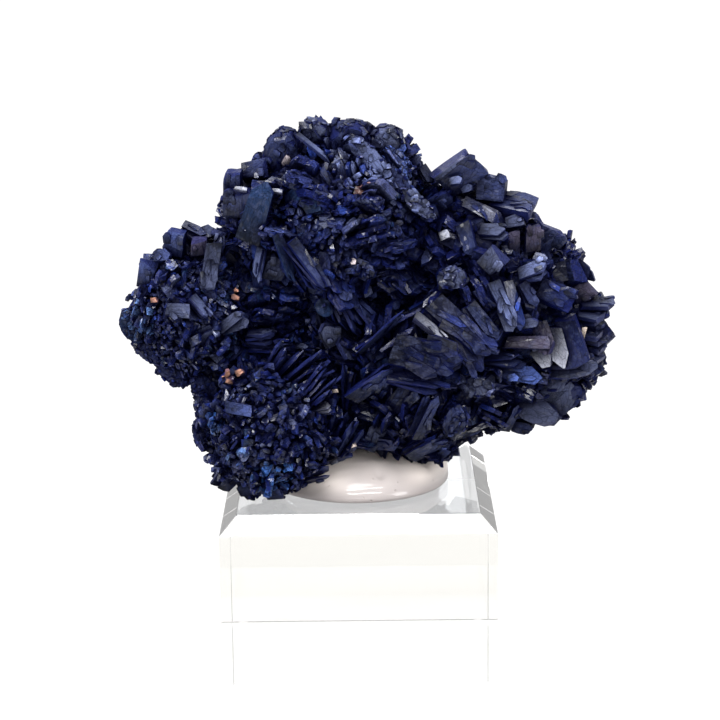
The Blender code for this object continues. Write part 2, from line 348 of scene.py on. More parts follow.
@dataclass(frozen=True)
class AzuriteFinish:
    """Azurite: dark navy faces broken into small facets, glassy on some and dusty on others, with painted
    shade darkening the gaps between crystals.
    """

    rim: Triple = (0.0008, 0.0025, 0.034)
    painted_gap_shade: Triple = (0.0001, 0.0003, 0.010)
    dust: Triple = (0.026, 0.032, 0.066)
    rim_share: float = 0.6
    dust_share: float = 0.35
    dust_steps: tuple[float, float] = (0.45, 0.75)
    lightness: float = 4.5
    least_lightness: float = 0.1
    grit_lightness: tuple[float, float] = (4.0, -1.7)
    crack: float = 0.32
    worn_crack: float = 0.4
    crack_width: float = 0.06
    roughness: float = 0.55
    coat_roughness: float = 0.11
    specular: float = 0.045
    mottle_mm: float = 1.3
    facets_mm: tuple[Triple, Triple] = ((2.8, 1.2, 0.5), (0.9, 0.5, 0.3))
    facet_tilt: float = 0.55
    streak_mm: Triple = (5.0, 0.55, 0.22)
    streak_depth_mm: float = 0.22
    gap_mm: float = 0.05
    pit_mm: float = 0.05
    grit_mm: float = 0.4
    grit_depth_mm: float = 0.10
    painted_shade_reach_mm: float = 3.2

    def material(self) -> bpy.types.Material:
        """Builds the stone's material, which reads each crystal's own colour, gloss and coordinates.

        Returns:
            The material.
        """
        tree = Tree("azurite")
        own = tree.attribute("crystal_colour").outputs["Color"]
        rim, wear, gloss = (
            Value(tree, tree.attribute(f"crystal_{name}").outputs["Fac"]) for name in ("rim", "wear", "gloss")
        )
        mottle = tree.noise(self.mottle_mm, 3.0, 0.6)
        grit = tree.noise(self.grit_mm, 2.0, 0.6)
        coarse, fine = (tree.facets("crystal_place", size) for size in self.facets_mm)
        streaks = tree.streaks("crystal_place", self.streak_mm)
        # Ambient occlusion paints shade into the gaps: it darkens the base colour towards a near-black blue
        # and dims the coat there.
        open_air = tree.hollow(self.painted_shade_reach_mm)
        painted_shade_factor = open_air * open_air * open_air
        sound = coarse.gap.step(0.0, self.crack_width) * fine.gap.step(0.0, self.crack_width)
        sound = sound * streaks.step(0.28, 0.40)
        whole = 1 - (1 - sound) * (self.crack + wear * self.worn_crack)
        edged = tree.mix(rim * self.rim_share, own, rgba(self.rim))
        powder = (1 - rim) * mottle.step(*self.dust_steps) * self.dust_share
        dusty = tree.mix(powder, edged, rgba(self.dust))
        lightness = mottle * 0.4 + coarse.chance * 0.6 + fine.chance * 0.4 + streaks * 0.6
        lightness = lightness + (grit * self.grit_lightness[0] + self.grit_lightness[1])
        lightness = lightness.maths("MAXIMUM", self.least_lightness)
        lit_colour = tree.scaled(dusty, lightness * whole * self.lightness)
        chips = coarse.chance.step(0.6, 0.9) * 0.45 + fine.chance.step(0.75, 0.9) * 0.8
        glassy = gloss * 0.7 + wear * chips
        height = (coarse.height + fine.height) * self.facet_tilt * wear + whole * self.gap_mm
        height = height + streaks * self.streak_depth_mm + grit * self.grit_depth_mm
        return tree.finish(
            {
                "Base Color": tree.mix(painted_shade_factor.held(), rgba(self.painted_gap_shade), lit_colour),
                "Roughness": (self.roughness - gloss * 0.2 + (mottle - 0.5) * 0.3).held(),
                "Normal": tree.bump(height + mottle * self.pit_mm, 1.0),
                "Specular IOR Level": self.specular,
                "Coat Weight": (glassy * whole * painted_shade_factor).held(),
                "Coat Roughness": self.coat_roughness,
            }
        )


@dataclass(frozen=True)
class AcrylicFinish:
    """Clear acrylic, polished, with faint smudges, and painted shade banded by height: a cream tint above the
    foot, a darker band, and a grey top.
    """

    ior: float = 1.49
    clear: Triple = (0.965, 0.965, 0.965)
    cream: Triple = (0.90, 0.90, 0.868)
    painted_shadow_band: Triple = (0.755, 0.745, 0.705)
    painted_top_shade: Triple = (0.64, 0.66, 0.68)
    painted_upper_shade_mm: tuple[float, float] = (4.0, 6.0)
    painted_shadow_band_mm: tuple[float, float] = (11.0, 18.0)
    painted_shadow_band_end_mm: tuple[float, float] = (23.0, 30.0)
    painted_top_shade_mm: tuple[float, float] = (31.3, 31.6)
    smudge_mm: float = 9.0
    smudge: float = 0.03

    def material(self) -> bpy.types.Material:
        """Builds the block's material: plain transmission, with a touch of haze where it is handled.

        Returns:
            The material.
        """
        tree = Tree("clear_acrylic")
        haze = tree.noise(self.smudge_mm, 4.0, 0.65).step(0.55, 0.8)
        height = tree.height()
        # The bands are painted shade: the cream tint stands for the shaded table seen through the block, the
        # darker band for the stone's shadow seen through it, and the grey top for the stone's shade and
        # reflection on it.
        bands = (self.painted_upper_shade_mm, self.painted_shadow_band_mm, self.painted_shadow_band_end_mm, self.painted_top_shade_mm)
        cream, shadow_band_mask, shadow_band_end_mask, painted_top_shade = (height.step(low * MM, high * MM) for low, high in bands)
        colour = tree.mix(cream, rgba(self.clear), rgba(self.cream))
        colour = tree.mix(shadow_band_mask - shadow_band_end_mask, colour, rgba(self.painted_shadow_band))
        return tree.finish(
            {
                "Base Color": tree.mix(painted_top_shade, colour, rgba(self.painted_top_shade)),
                "Roughness": haze * self.smudge,
                "IOR": self.ior,
                "Transmission Weight": 1.0,
            }
        )


@dataclass(frozen=True)
class PuttyFinish:
    """Mounting putty: pinkish beige, smooth and a little glossy, with pits, and painted light and shade that
    even out its lighting.
    """

    # The first colour is the top's, painted lighter where the stone shades it; the next two are painted
    # shade, at the front of the dome and at the foot, where the lamps fall strongly.
    colour: Triple = (0.82, 0.745, 0.70)
    painted_front_shade: Triple = (0.455, 0.412, 0.40)
    foot: Triple = (0.335, 0.302, 0.296)
    shade: Triple = (0.45, 0.385, 0.365)
    painted_shade_point: Triple = (4.0, -14.0, 36.0)
    painted_shade_mm: tuple[float, float] = (3.5, 9.5)
    painted_foot_shade_mm: tuple[float, float] = (33.0, 36.0)
    cloud_mm: float = 5.0
    cloud_share: float = 0.12
    pit_mm: float = 1.6
    pit_share: float = 0.5
    pit_depth_mm: float = 0.3

    def material(self) -> bpy.types.Material:
        """Builds the putty's material.

        Returns:
            The material.
        """
        tree = Tree("mounting_putty")
        cloud = tree.noise(self.cloud_mm, 3.0)
        pits = 1 - tree.cells(self.pit_mm).step(0.05, 0.16)
        spared = pits * tree.noise(self.cloud_mm / 2, 1.0).step(0.5, 0.62)
        # Painted light and shade: the foot is painted darker below, the front of the dome darker near one
        # point, and the rest lighter.
        upper = tree.height().step(self.painted_foot_shade_mm[0] * MM, self.painted_foot_shade_mm[1] * MM)
        away = tree.distance(tree.place(), tuple(value * MM for value in self.painted_shade_point))
        away = away.step(self.painted_shade_mm[0] * MM, self.painted_shade_mm[1] * MM)
        colour = tree.mix(upper, rgba(self.foot), tree.mix(away, rgba(self.painted_front_shade), rgba(self.colour)))
        # The pits are painted darker as painted shade in them; the clouds are the putty's own uneven tone.
        shade = cloud.step(0.35, 0.75) * self.cloud_share + spared * self.pit_share
        return tree.finish(
            {
                "Base Color": tree.mix(shade, colour, rgba(self.shade)),
                "Roughness": 0.45 + cloud * 0.1,
                "Normal": tree.bump(cloud * 0.2 - spared, self.pit_depth_mm, 0.8),
                "Specular IOR Level": 0.25,
                "Coat Weight": 0.6,
                "Coat Roughness": 0.03,
                "IOR": 1.5,
            }
        )


# ---------------------------------------------------------------- modelling by hand


def deselect_all() -> None:
    """Leaves object mode with nothing selected."""
    if bpy.context.object and bpy.context.object.mode != "OBJECT":
        bpy.ops.object.mode_set(mode="OBJECT")
    bpy.ops.object.select_all(action="DESELECT")


def take_up(obj: bpy.types.Object) -> None:
    """Selects one object alone and makes it the active one."""
    deselect_all()
    bpy.context.view_layer.objects.active = obj
    obj.select_set(True)


def added(operator: Callable, **settings: object) -> bpy.types.Object:
    """Adds one primitive with nothing else selected.

    Args:
        operator: the primitive's operator.
        settings: its settings.

    Returns:
        The new object.
    """
    deselect_all()
    operator(**settings)
    return bpy.context.object


class EditMode:
    """Edit mode on one object, with faces, edges and corners picked by a test."""

    def __init__(self, obj: bpy.types.Object) -> None:
        """Takes the object to be shaped."""
        self.obj = obj

    def __enter__(self) -> "EditMode":
        """Enters edit mode.

        Returns:
            Itself.
        """
        take_up(self.obj)
        bpy.ops.object.mode_set(mode="EDIT")
        return self

    def __exit__(self, *problem: object) -> None:
        """Leaves edit mode."""
        bpy.ops.object.mode_set(mode="OBJECT")

    def pick(self, kind: str, test: Callable) -> int:
        """Selects the parts of one kind that pass a test, and nothing else.

        Args:
            kind: VERT, EDGE or FACE.
            test: takes a bmesh part and says whether it is picked.

        Returns:
            How many were picked.
        """
        bpy.ops.mesh.select_all(action="DESELECT")
        bpy.ops.mesh.select_mode(type=kind)
        shape = bmesh.from_edit_mesh(self.obj.data)
        parts = {"VERT": shape.verts, "EDGE": shape.edges, "FACE": shape.faces}[kind]
        picked = [part for part in parts if test(part)]
        for part in picked:
            part.select_set(True)
        shape.select_flush_mode()
        bmesh.update_edit_mesh(self.obj.data)
        return len(picked)


def apply_modifiers(obj: bpy.types.Object) -> None:
    """Applies every modifier of an object, in order.

    Args:
        obj: the object.
    """
    take_up(obj)
    for modifier in list(obj.modifiers):
        bpy.ops.object.modifier_apply(modifier=modifier.name)


def settle(obj: bpy.types.Object) -> None:
    """Puts an object's place, turn and size into its mesh."""
    take_up(obj)
    bpy.ops.object.transform_apply(location=True, rotation=True, scale=True)


def hand_in(obj: bpy.types.Object, node: str) -> None:
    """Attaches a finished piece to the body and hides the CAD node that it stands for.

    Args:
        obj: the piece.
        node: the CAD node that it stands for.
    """
    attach(obj, BODY)
    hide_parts(node)
    LOG.info("%s: %d faces for %s", obj.name, len(obj.data.polygons), node)


# ---------------------------------------------------------------- crystal shapes


class Habit(Enum):
    """The shapes that a crystal may have."""

    TABLET = "flat crystal with an angular rim"
    BLADE = "long flat crystal with a wedge tip"
    SCALE = "flat crystal with a worn, round rim and a swollen face"
    BLOCK = "thick crystal with a stepped face"
    GRAIN = "small plain crystal"


@dataclass(frozen=True)
class Cast:
    """One crystal shape in arrays, scaled to fit a unit cube: X along, Y across, Z out of its flat face."""

    corners: np.ndarray
    loops: np.ndarray
    totals: np.ndarray
    rims: np.ndarray
    places: np.ndarray


@dataclass(frozen=True)
class CrystalMould:
    """How one crystal shape is cut, at a middling crystal's real size in millimetres and in degrees."""

    rim: tuple[float, ...]
    length: float
    width: float
    thickness: float
    lean: float = 14.0
    wander: float = 10.0
    wedge: float = 5.0
    unevenness: float = 0.14
    terraces: int = 0
    terrace_inset: float = 0.5
    terrace_height: float = 0.15
    tip: float = 0.0

    def cast(self, name: str, seed: int) -> Cast:
        """Models the crystal and gives it as arrays.

        Args:
            name: the object's name while it is modelled.
            seed: which uneven version it is.

        Returns:
            The crystal's arrays.
        """
        rng = np.random.default_rng([len(self.rim), seed])
        size = (self.length, self.width, self.thickness)
        obj = added(bpy.ops.mesh.primitive_cube_add, size=1.0, scale=size)
        obj.name = name
        settle(obj)
        with EditMode(obj) as edit:
            self._rim(rng)
            self._flats(rng)
            self._terraces(edit, rng)
            bpy.ops.mesh.select_all(action="SELECT")
            bpy.ops.mesh.remove_doubles(threshold=0.02)
            bpy.ops.mesh.normals_make_consistent(inside=False)
            bpy.ops.uv.smart_project(angle_limit=math.radians(50), island_margin=0.02)
        return self._arrays(obj)

    @staticmethod
    def _cut(point: np.ndarray, normal: np.ndarray) -> None:
        """Cuts away what lies beyond a plane and closes the cut with a facet.

        Args:
            point: a point of the plane.
            normal: which way it faces.
        """
        bpy.ops.mesh.select_all(action="SELECT")
        bpy.ops.mesh.bisect(plane_co=point, plane_no=normal, use_fill=True, clear_outer=True)

    def _rim(self, rng: np.random.Generator) -> None:
        """Cuts the facets round the rim, each leaning up or down.

        Args:
            rng: the numbers that make it uneven.
        """
        for corner in self.rim:
            around = math.radians(corner + rng.uniform(-self.wander, self.wander))
            reach = math.hypot(self.length / 2 * math.cos(around), self.width / 2 * math.sin(around))
            reach *= rng.uniform(1 - self.unevenness, 1.0)
            lean = math.radians(self.lean) * rng.uniform(-1.2, 1.2)
            outward = np.array((math.cos(around), math.sin(around), 0.0))
            normal = outward * math.cos(lean) + np.array((0.0, 0.0, math.sin(lean)))
            self._cut(outward * reach, normal)

    def _flats(self, rng: np.random.Generator) -> None:
        """Tilts the two flat faces a little, and cuts a slope at the tip.

        Args:
            rng: the numbers that make it uneven.
        """
        for side in (1.0, -1.0):
            tilt = np.radians(rng.uniform(-self.wedge, self.wedge, 2))
            normal = np.array((math.sin(tilt[0]), math.sin(tilt[1]), side * math.cos(tilt[0])))
            self._cut(np.array((0.0, 0.0, side * self.thickness * 0.46)), normal)
        if self.tip:
            slope = math.radians(self.tip * rng.uniform(0.8, 1.2))
            normal = np.array((math.sin(slope), rng.uniform(-0.3, 0.3), math.cos(slope)))
            self._cut(np.array((self.length * 0.28, 0.0, self.thickness / 2)), normal)

    def _terraces(self, edit: EditMode, rng: np.random.Generator) -> None:
        """Raises growth steps on the widest face.

        Args:
            edit: the crystal in edit mode.
            rng: the numbers that make it uneven.
        """
        for _ in range(self.terraces):
            shape = bmesh.from_edit_mesh(edit.obj.data)
            upper = [face for face in shape.faces if face.normal.z > 0.7]
            middle = max(upper, key=lambda face: face.calc_area()).calc_center_median()
            edit.pick("FACE", lambda face: (face.calc_center_median() - middle).length < 1e-6)
            bpy.ops.mesh.inset(thickness=self.terrace_inset)
            shift = rng.uniform(-0.3, 0.3, 2) * self.terrace_inset
            bpy.ops.transform.translate(value=(shift[0], shift[1], self.terrace_height))

    def _arrays(self, obj: bpy.types.Object) -> Cast:
        """Reads the modelled crystal and removes its object.

        Args:
            obj: the crystal.

        Returns:
            Its arrays.
        """
        mesh = obj.data
        corners = np.empty(len(mesh.vertices) * 3)
        mesh.vertices.foreach_get("co", corners)
        corners = corners.reshape(-1, 3)
        corners = (corners - (corners.max(0) + corners.min(0)) / 2) / (corners.max(0) - corners.min(0))
        loops = np.empty(len(mesh.loops), np.int64)
        mesh.loops.foreach_get("vertex_index", loops)
        totals = np.array([len(face.vertices) for face in mesh.polygons])
        rims = np.array([abs(face.normal.z) < 0.75 for face in mesh.polygons], float)
        places = np.empty(len(mesh.loops) * 2)
        mesh.uv_layers.active.data.foreach_get("uv", places)
        bpy.data.objects.remove(obj)
        return Cast(corners, loops, totals, rims, places.reshape(-1, 2))


MOULDS = {
    Habit.TABLET: CrystalMould((-28, 38, 96, 182, 264), 6.0, 5.0, 1.4, lean=20, wander=13),
    Habit.BLADE: CrystalMould((-42, 36, 89, 180, 271), 9.0, 4.0, 1.2, wander=6, wedge=4, tip=32),
    Habit.SCALE: CrystalMould(
        tuple(range(0, 360, 30)), 6.0, 6.0, 1.4, lean=30, wedge=3, unevenness=0.08, terraces=2,
        terrace_height=0.12,
    ),
    Habit.BLOCK: CrystalMould((4, 90, 180, 268), 6.0, 5.0, 3.4, wander=9, wedge=8, terraces=1, tip=36),
    Habit.GRAIN: CrystalMould((15, 80, 150, 215, 300), 2.0, 1.7, 0.9, lean=25, wander=18, wedge=10),
}
VERSIONS = 6  # uneven versions of each shape


class Foundry:
    """Casts every crystal shape once and hands out its versions."""

    def __init__(self) -> None:
        """Models all shapes."""
        self.casts = {
            habit: [mould.cast(f"{habit.name.lower()}_{seed}", seed) for seed in range(VERSIONS)]
            for habit, mould in MOULDS.items()
        }

    def pick(self, habit: Habit, rng: np.random.Generator) -> Cast:
        """One version of a shape."""
        return self.casts[habit][rng.integers(VERSIONS)]


# ---------------------------------------------------------------- colours of crystals


class Tint(Enum):
    """Colours that the crystals have, as linear values."""

    NAVY = (0.0034, 0.0054, 0.0265)
    INK = (0.0018, 0.0030, 0.0165)
    SLATE = (0.0085, 0.0115, 0.0350)
    GREY = (0.022, 0.026, 0.050)
    BROWN = (0.024, 0.021, 0.036)
    HAZE = (0.038, 0.047, 0.098)
    BLUE = (0.0045, 0.010, 0.055)
    AZURE = (0.026, 0.042, 0.135)
    BRIGHT = (0.012, 0.040, 0.140)
    SKY = (0.028, 0.052, 0.125)
    TEAL = (0.0035, 0.0085, 0.026)
    VIOLET = (0.015, 0.021, 0.062)
    RUST = (0.17, 0.085, 0.06)
    PEARL = (0.22, 0.19, 0.20)
    CREAM = (0.62, 0.52, 0.44)
    # A light grey that stands for glints: a painted highlight on small glassy crystals, over their real coat
    # gloss.
    PAINTED_GLINT = (0.13, 0.135, 0.165)


@dataclass(frozen=True)
class Spot:
    """A patch of crystals of another colour: its middle and radius in millimetres."""

    middle: Triple
    radius: float
    tint: Tint
    share: float = 0.7


SPOTS = (
    Spot((-41.5, -8.0, 65.0), 4.2, Tint.SKY, 0.45),
    Spot((-43.0, -4.0, 69.0), 4.0, Tint.VIOLET, 0.5),
    Spot((-36.0, -4.0, 75.0), 4.5, Tint.VIOLET, 0.4),
    Spot((-23.5, -9.0, 60.0), 2.6, Tint.SKY, 0.4),
    Spot((-26.0, -18.5, 47.5), 2.4, Tint.BRIGHT, 0.9),
    Spot((-22.0, -23.5, 43.5), 2.0, Tint.SKY, 0.8),
    Spot((-15.0, -22.0, 39.0), 3.8, Tint.BRIGHT, 0.75),
    Spot((-19.5, -20.0, 36.0), 2.6, Tint.BRIGHT, 0.4),
    Spot((8.0, -4.0, 94.5), 4.0, Tint.AZURE, 0.6),
    Spot((3.0, -8.0, 94.0), 6.5, Tint.HAZE, 0.45),
    Spot((9.5, -11.0, 88.5), 4.5, Tint.HAZE, 0.4),
    Spot((31.0, -12.0, 56.0), 3.2, Tint.AZURE, 0.6),
    Spot((-22.5, -15.0, 57.0), 1.9, Tint.RUST, 0.6),
    Spot((-22.0, -7.5, 70.0), 1.1, Tint.RUST, 0.6),
    Spot((-37.0, -7.5, 69.0), 1.5, Tint.RUST, 0.25),
    Spot((1.5, -13.5, 90.5), 1.4, Tint.RUST, 0.5),
    Spot((4.5, -14.5, 85.5), 1.1, Tint.RUST, 0.5),
    Spot((-0.5, -14.0, 76.5), 1.4, Tint.PEARL, 0.4),
    Spot((-12.8, -4.5, 95.7), 2.2, Tint.PEARL, 0.25),
    # Crystals here take the light grey of painted glints.
    Spot((-23.0, -1.0, 76.0), 2.4, Tint.PAINTED_GLINT, 0.5),
)


# ---------------------------------------------------------------- the cluster's layout

CORE_NODE = "azurite_cluster"
LOBE_SEED = 11
PATCHES = 7  # patches of a lobe within which its tablets stand side by side
SPREAD = 0.10  # of the tablets' spots, in radians
LEAN_SPREAD = 0.16  # of their long axes
TURN_SPREAD = 0.22  # of their turns about them
SIZE_RANGE = ((0.86, 0.75, 0.7), (1.14, 1.2, 1.3))  # length, width and thickness, as shares of a middling one
TURN_FROM = (0.31, 0.17, 0.93)  # a direction that no tablet follows, from which its turn is measured
ROOT = 0.56  # how far a tablet reaches down from its spot, as a share of its length
BURIED = 0.9  # a spot nearer to another lobe's middle than this share of its radius has no tablet
CROWDED = 4.5  # millimetres from a large crystal's middle within which no tablet grows
LARGE = 5.0  # a large crystal longer than this, in millimetres, keeps tablets away
TRIES = 3  # moves back to the skin before a crystal is left out
STILL_OUT = 0.4  # the longest last move, in millimetres, of a crystal that is kept
SHARD_AREA = 8.0  # square millimetres from which a page carries broken flakes
FLAKE_AREA = 7.0  # square millimetres of a page for each of its flakes
FLAKE_SHARE = 0.34  # a flake's length and width, as a share of the page's
COVERAGE = 1.3  # crystals of a crust on each square of their own length
GROWTH_ROOT = 0.42  # how far a book reaches down from its spot, as a share of its length


@dataclass(frozen=True)
class Growth:
    """A layer of crystals over a lobe, in millimetres and degrees.

    A crystal rises from the ground by its rise: at 0 degrees it lies flat on it, at 90 it stands. Crystals
    of one patch rise alike and point the same way, like the scales of a cone. On_edge is the share of them
    that lie on their edge.
    """

    spacing: float
    size: Triple
    habits: tuple[Habit, ...]
    rise: float = 40.0
    rise_spread: float = 16.0
    lift: tuple[float, float] = (-0.6, 0.8)
    leaves: tuple[int, int] = (1, 1)
    wildness: float = 0.35
    above: float = 0.0
    on_edge: float = 0.0


@dataclass(frozen=True)
class Lobe:
    """One mass of crystals, in millimetres: its middle, its half axes and what grows on it.

    Chips are how many small crystals sit on each tablet, and their size as a share of the tablet's. They
    take the place of the tablet where it has no book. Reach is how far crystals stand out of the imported
    solid.
    """

    middle: Triple
    radii: Triple
    tablets: int
    tablet_size: Triple
    growths: tuple[Growth, ...]
    chips: tuple[int, float] = (5, 0.4)
    tablet_books: bool = True
    reach: float = 0.8
    # Below 1 it darkens the small crystals, the fill between the large ones, as painted shade; above 1 it
    # makes them lighter.
    lightness: float = 1.0

    def share(self, points: np.ndarray) -> np.ndarray:
        """How far out points lie, as a share of the lobe's own radius there."""
        return np.linalg.norm((points - np.array(self.middle)) / np.array(self.radii), axis=-1)


PLATES = (Habit.BLADE, Habit.TABLET, Habit.BLADE)
MIXED = (Habit.TABLET, Habit.BLOCK, Habit.BLADE, Habit.TABLET)
CHUNKS = (Habit.BLOCK, Habit.TABLET)
CHIPS = (Habit.TABLET, Habit.BLOCK, Habit.GRAIN, Habit.GRAIN)
GRAINS = (Habit.GRAIN,)

LOBES = {
    "crown": Lobe(
        (-3.0, 1.0, 81.0), (17.5, 17.0, 16.5), 50, (10.0, 9.0, 3.2),
        (
            Growth(3.0, (4.6, 3.2, 0.8), MIXED, rise=40, lift=(-0.2, 1.2), leaves=(1, 3), on_edge=0.3),
            Growth(2.1, (3.0, 2.2, 0.8), MIXED, rise=48, lift=(-0.2, 1.4), leaves=(1, 2), wildness=0.7),
            Growth(1.3, (1.6, 1.2, 0.6), CHIPS, rise=45, rise_spread=25, lift=(0.0, 1.4), wildness=1.2),
        ),
        chips=(14, 0.3), lightness=1.3,
    ),
    "crown_left": Lobe(
        (-14.0, 1.0, 79.5), (9.5, 12.0, 11.5), 26, (9.0, 7.5, 3.0),
        (
            Growth(3.2, (4.8, 3.8, 1.8), CHUNKS, rise=48, lift=(-0.2, 1.4)),
            Growth(2.2, (3.0, 2.4, 1.2), MIXED, rise=50, lift=(-0.2, 1.4), wildness=0.7, on_edge=0.3),
            Growth(1.4, (1.7, 1.3, 0.7), CHIPS, rise=45, rise_spread=25, lift=(0.0, 1.4), wildness=1.2),
        ),
        chips=(12, 0.32),
    ),
    "saddle": Lobe(
        (18.5, 1.0, 79.0), (9.0, 11.0, 8.5), 14, (8.5, 7.0, 3.0),
        (
            Growth(3.2, (4.8, 3.8, 1.8), MIXED, rise=48, lift=(-0.2, 1.4)),
            Growth(2.2, (3.0, 2.3, 1.1), MIXED, rise=50, lift=(-0.2, 1.4), wildness=0.7),
            Growth(1.4, (1.7, 1.3, 0.7), CHIPS, rise=45, rise_spread=25, lift=(0.0, 1.2), wildness=1.2),
        ),
        chips=(10, 0.36), lightness=0.7,
    ),
    "right": Lobe(
        (24.5, 1.5, 66.5), (16.5, 16.0, 16.0), 44, (10.0, 9.0, 3.6),
        (
            Growth(3.9, (6.2, 4.6, 2.2), CHUNKS, rise=46, lift=(-0.2, 1.4)),
            Growth(2.6, (3.8, 2.9, 1.3), MIXED, rise=50, lift=(-0.2, 1.5), wildness=0.6, on_edge=0.3),
            Growth(1.6, (2.0, 1.5, 0.8), CHIPS, rise=45, rise_spread=25, lift=(0.0, 1.5), wildness=1.2),
        ),
        chips=(10, 0.36), lightness=0.7,
    ),
    "right_rim": Lobe(
        (34.0, 0.0, 59.5), (11.5, 11.0, 12.5), 26, (9.5, 8.0, 3.4),
        (
            Growth(3.9, (6.2, 4.6, 2.2), CHUNKS, rise=44, lift=(-0.2, 1.4)),
            Growth(2.6, (3.8, 2.9, 1.3), MIXED, rise=50, lift=(-0.2, 1.4), wildness=0.6, on_edge=0.3),
            Growth(1.6, (2.0, 1.5, 0.8), CHIPS, rise=45, rise_spread=25, lift=(0.0, 1.4), wildness=1.2),
        ),
        chips=(10, 0.36), lightness=0.6,
    ),
    "middle": Lobe(
        (11.5, -1.0, 53.0), (17.0, 16.5, 15.5), 42, (10.0, 8.5, 3.2),
        (
            Growth(3.4, (7.2, 3.6, 0.9), PLATES, rise=32, lift=(-0.2, 1.2), leaves=(1, 3), on_edge=0.4),
            Growth(
                2.4, (4.2, 2.4, 0.7), PLATES, rise=40, lift=(-0.2, 1.4),
                leaves=(1, 3), wildness=0.5, on_edge=0.5,
            ),
            Growth(1.6, (2.0, 1.4, 0.7), CHIPS, rise=45, rise_spread=25, lift=(0.0, 1.4), wildness=1.2),
        ),
        chips=(10, 0.34), lightness=0.55,
    ),
    "left": Lobe(
        (-29.5, 0.5, 65.0), (12.0, 12.5, 12.5), 40, (7.0, 6.5, 3.0),
        (
            Growth(3.0, (3.6, 2.8, 1.4), CHUNKS, rise=45, lift=(-0.2, 1.2), above=64.0),
            Growth(2.0, (2.4, 1.8, 0.8), MIXED, rise=45, lift=(-0.2, 1.0), leaves=(1, 3), on_edge=0.4),
            Growth(1.2, (1.6, 1.2, 0.6), CHIPS, rise=30, rise_spread=25, lift=(-0.1, 1.0), wildness=1.2),
            Growth(0.85, (0.95, 0.75, 0.45), GRAINS, rise=30, rise_spread=25, lift=(0.2, 1.0), wildness=1.2),
        ),
        chips=(16, 0.26), tablet_books=False, reach=0.5, lightness=1.45,
    ),
    "low_left": Lobe(
        (-16.0, -12.0, 45.0), (12.0, 12.0, 12.0), 44, (6.4, 6.0, 2.8),
        (
            Growth(2.6, (2.8, 2.1, 0.8), MIXED, rise=45, lift=(-0.2, 1.0), leaves=(1, 3), on_edge=0.4),
            Growth(1.6, (1.9, 1.4, 0.6), CHIPS, rise=35, lift=(-0.1, 1.0), wildness=0.9),
            Growth(1.0, (1.2, 0.9, 0.5), GRAINS, rise=30, rise_spread=25, lift=(0.2, 1.1), wildness=1.2),
        ),
        chips=(15, 0.29), tablet_books=False, reach=0.5, lightness=1.1,
    ),
    "heart": Lobe(
        (-12.0, 4.0, 60.0), (17.0, 13.5, 14.0), 30, (9.5, 7.5, 3.0),
        (
            Growth(3.0, (6.2, 2.8, 0.65), PLATES, rise=35, lift=(-0.2, 1.0), leaves=(2, 5), on_edge=0.75),
            Growth(
                2.0, (3.2, 1.9, 0.6), MIXED, rise=42, lift=(-0.2, 1.3),
                leaves=(1, 3), wildness=0.7, on_edge=0.6,
            ),
            Growth(1.3, (1.6, 1.2, 0.6), CHIPS, rise=45, rise_spread=25, lift=(0.0, 1.3), wildness=1.2),
        ),
        chips=(12, 0.3), lightness=0.75,
    ),
}


@dataclass(frozen=True)
class Flow:
    """A stretch of the surface where crystals point one way: its middle, radius, direction and rise."""

    middle: Triple
    radius: float
    pointing: Triple
    rise: float


FLOWS = (
    Flow((-4.0, -15.0, 71.0), 9.0, (0.5, -0.3, -0.9), 28.0),
    Flow((-16.0, -11.0, 75.0), 6.0, (-0.1, -0.3, -1.0), 30.0),
    Flow((8.0, -13.0, 86.0), 7.0, (0.7, -0.1, -0.8), 18.0),
    Flow((13.0, -11.0, 78.0), 5.0, (0.6, -0.2, -0.9), 30.0),
    Flow((5.0, -16.0, 60.0), 8.0, (0.75, -0.3, 0.65), 22.0),
    Flow((16.5, -15.5, 64.0), 7.0, (0.65, -0.2, -0.75), 20.0),
    Flow((9.0, -15.0, 47.0), 8.5, (0.35, -0.3, 0.9), 20.0),
    Flow((-4.0, -13.0, 45.0), 6.0, (0.4, -0.3, 0.9), 28.0),
    Flow((-10.0, -13.0, 55.0), 8.0, (0.75, -0.3, 0.65), 25.0),
    Flow((-16.0, -8.0, 61.0), 5.0, (1.0, -0.2, 0.1), 25.0),
    Flow((-3.0, -10.0, 66.0), 5.0, (0.45, -0.2, -0.9), 22.0),
    Flow((29.0, -14.0, 68.0), 6.0, (0.45, -0.2, -0.9), 25.0),
    Flow((34.0, -8.0, 50.0), 8.0, (0.5, -0.4, 0.5), 20.0),
    Flow((-28.0, -11.0, 66.0), 5.0, (0.65, -0.2, -0.75), 28.0),
    Flow((-30.0, -8.0, 75.0), 5.0, (-0.2, -0.3, 0.9), 40.0),
)


@dataclass(frozen=True)
class Crystal:
    """A crystal that stands out, in millimetres and degrees.

    Its angles are the slope of its long axis in the front view, its lean to the front, and its flat
    face's turn away from the front about that axis. Crust is the size of the small crystals that cover
    it; a bare one has no broken flakes on its faces.
    """

    middle: Triple
    angles: Triple
    size: Triple
    habit: Habit = Habit.TABLET
    leaves: int = 1
    tint: Tint = Tint.SLATE
    gloss: float = 0.32
    crust: float = 0.0
    bare: bool = False

    def axes(self) -> tuple[np.ndarray, np.ndarray]:
        """Its two directions.

        Returns:
            Its long axis, and its flat face's normal.
        """
        slope, lean, turn = (math.radians(angle) for angle in self.angles)
        front = np.array((0.0, -1.0, 0.0))
        in_view = np.array((math.cos(slope), 0.0, math.sin(slope)))
        along = math.cos(lean) * in_view + math.sin(lean) * front
        facing = unit(front - (front @ along) * along)
        return along, math.cos(turn) * facing + math.sin(turn) * np.cross(along, facing)


LEAF, SCALE, BLOCK, TABLET, GRAIN = Habit.BLADE, Habit.SCALE, Habit.BLOCK, Habit.TABLET, Habit.GRAIN
INK, NAVY, SLATE, GREY, BROWN, HAZE = Tint.INK, Tint.NAVY, Tint.SLATE, Tint.GREY, Tint.BROWN, Tint.HAZE
BLUE, AZURE, TEAL, VIOLET, PAINTED_GLINT = Tint.BLUE, Tint.AZURE, Tint.TEAL, Tint.VIOLET, Tint.PAINTED_GLINT

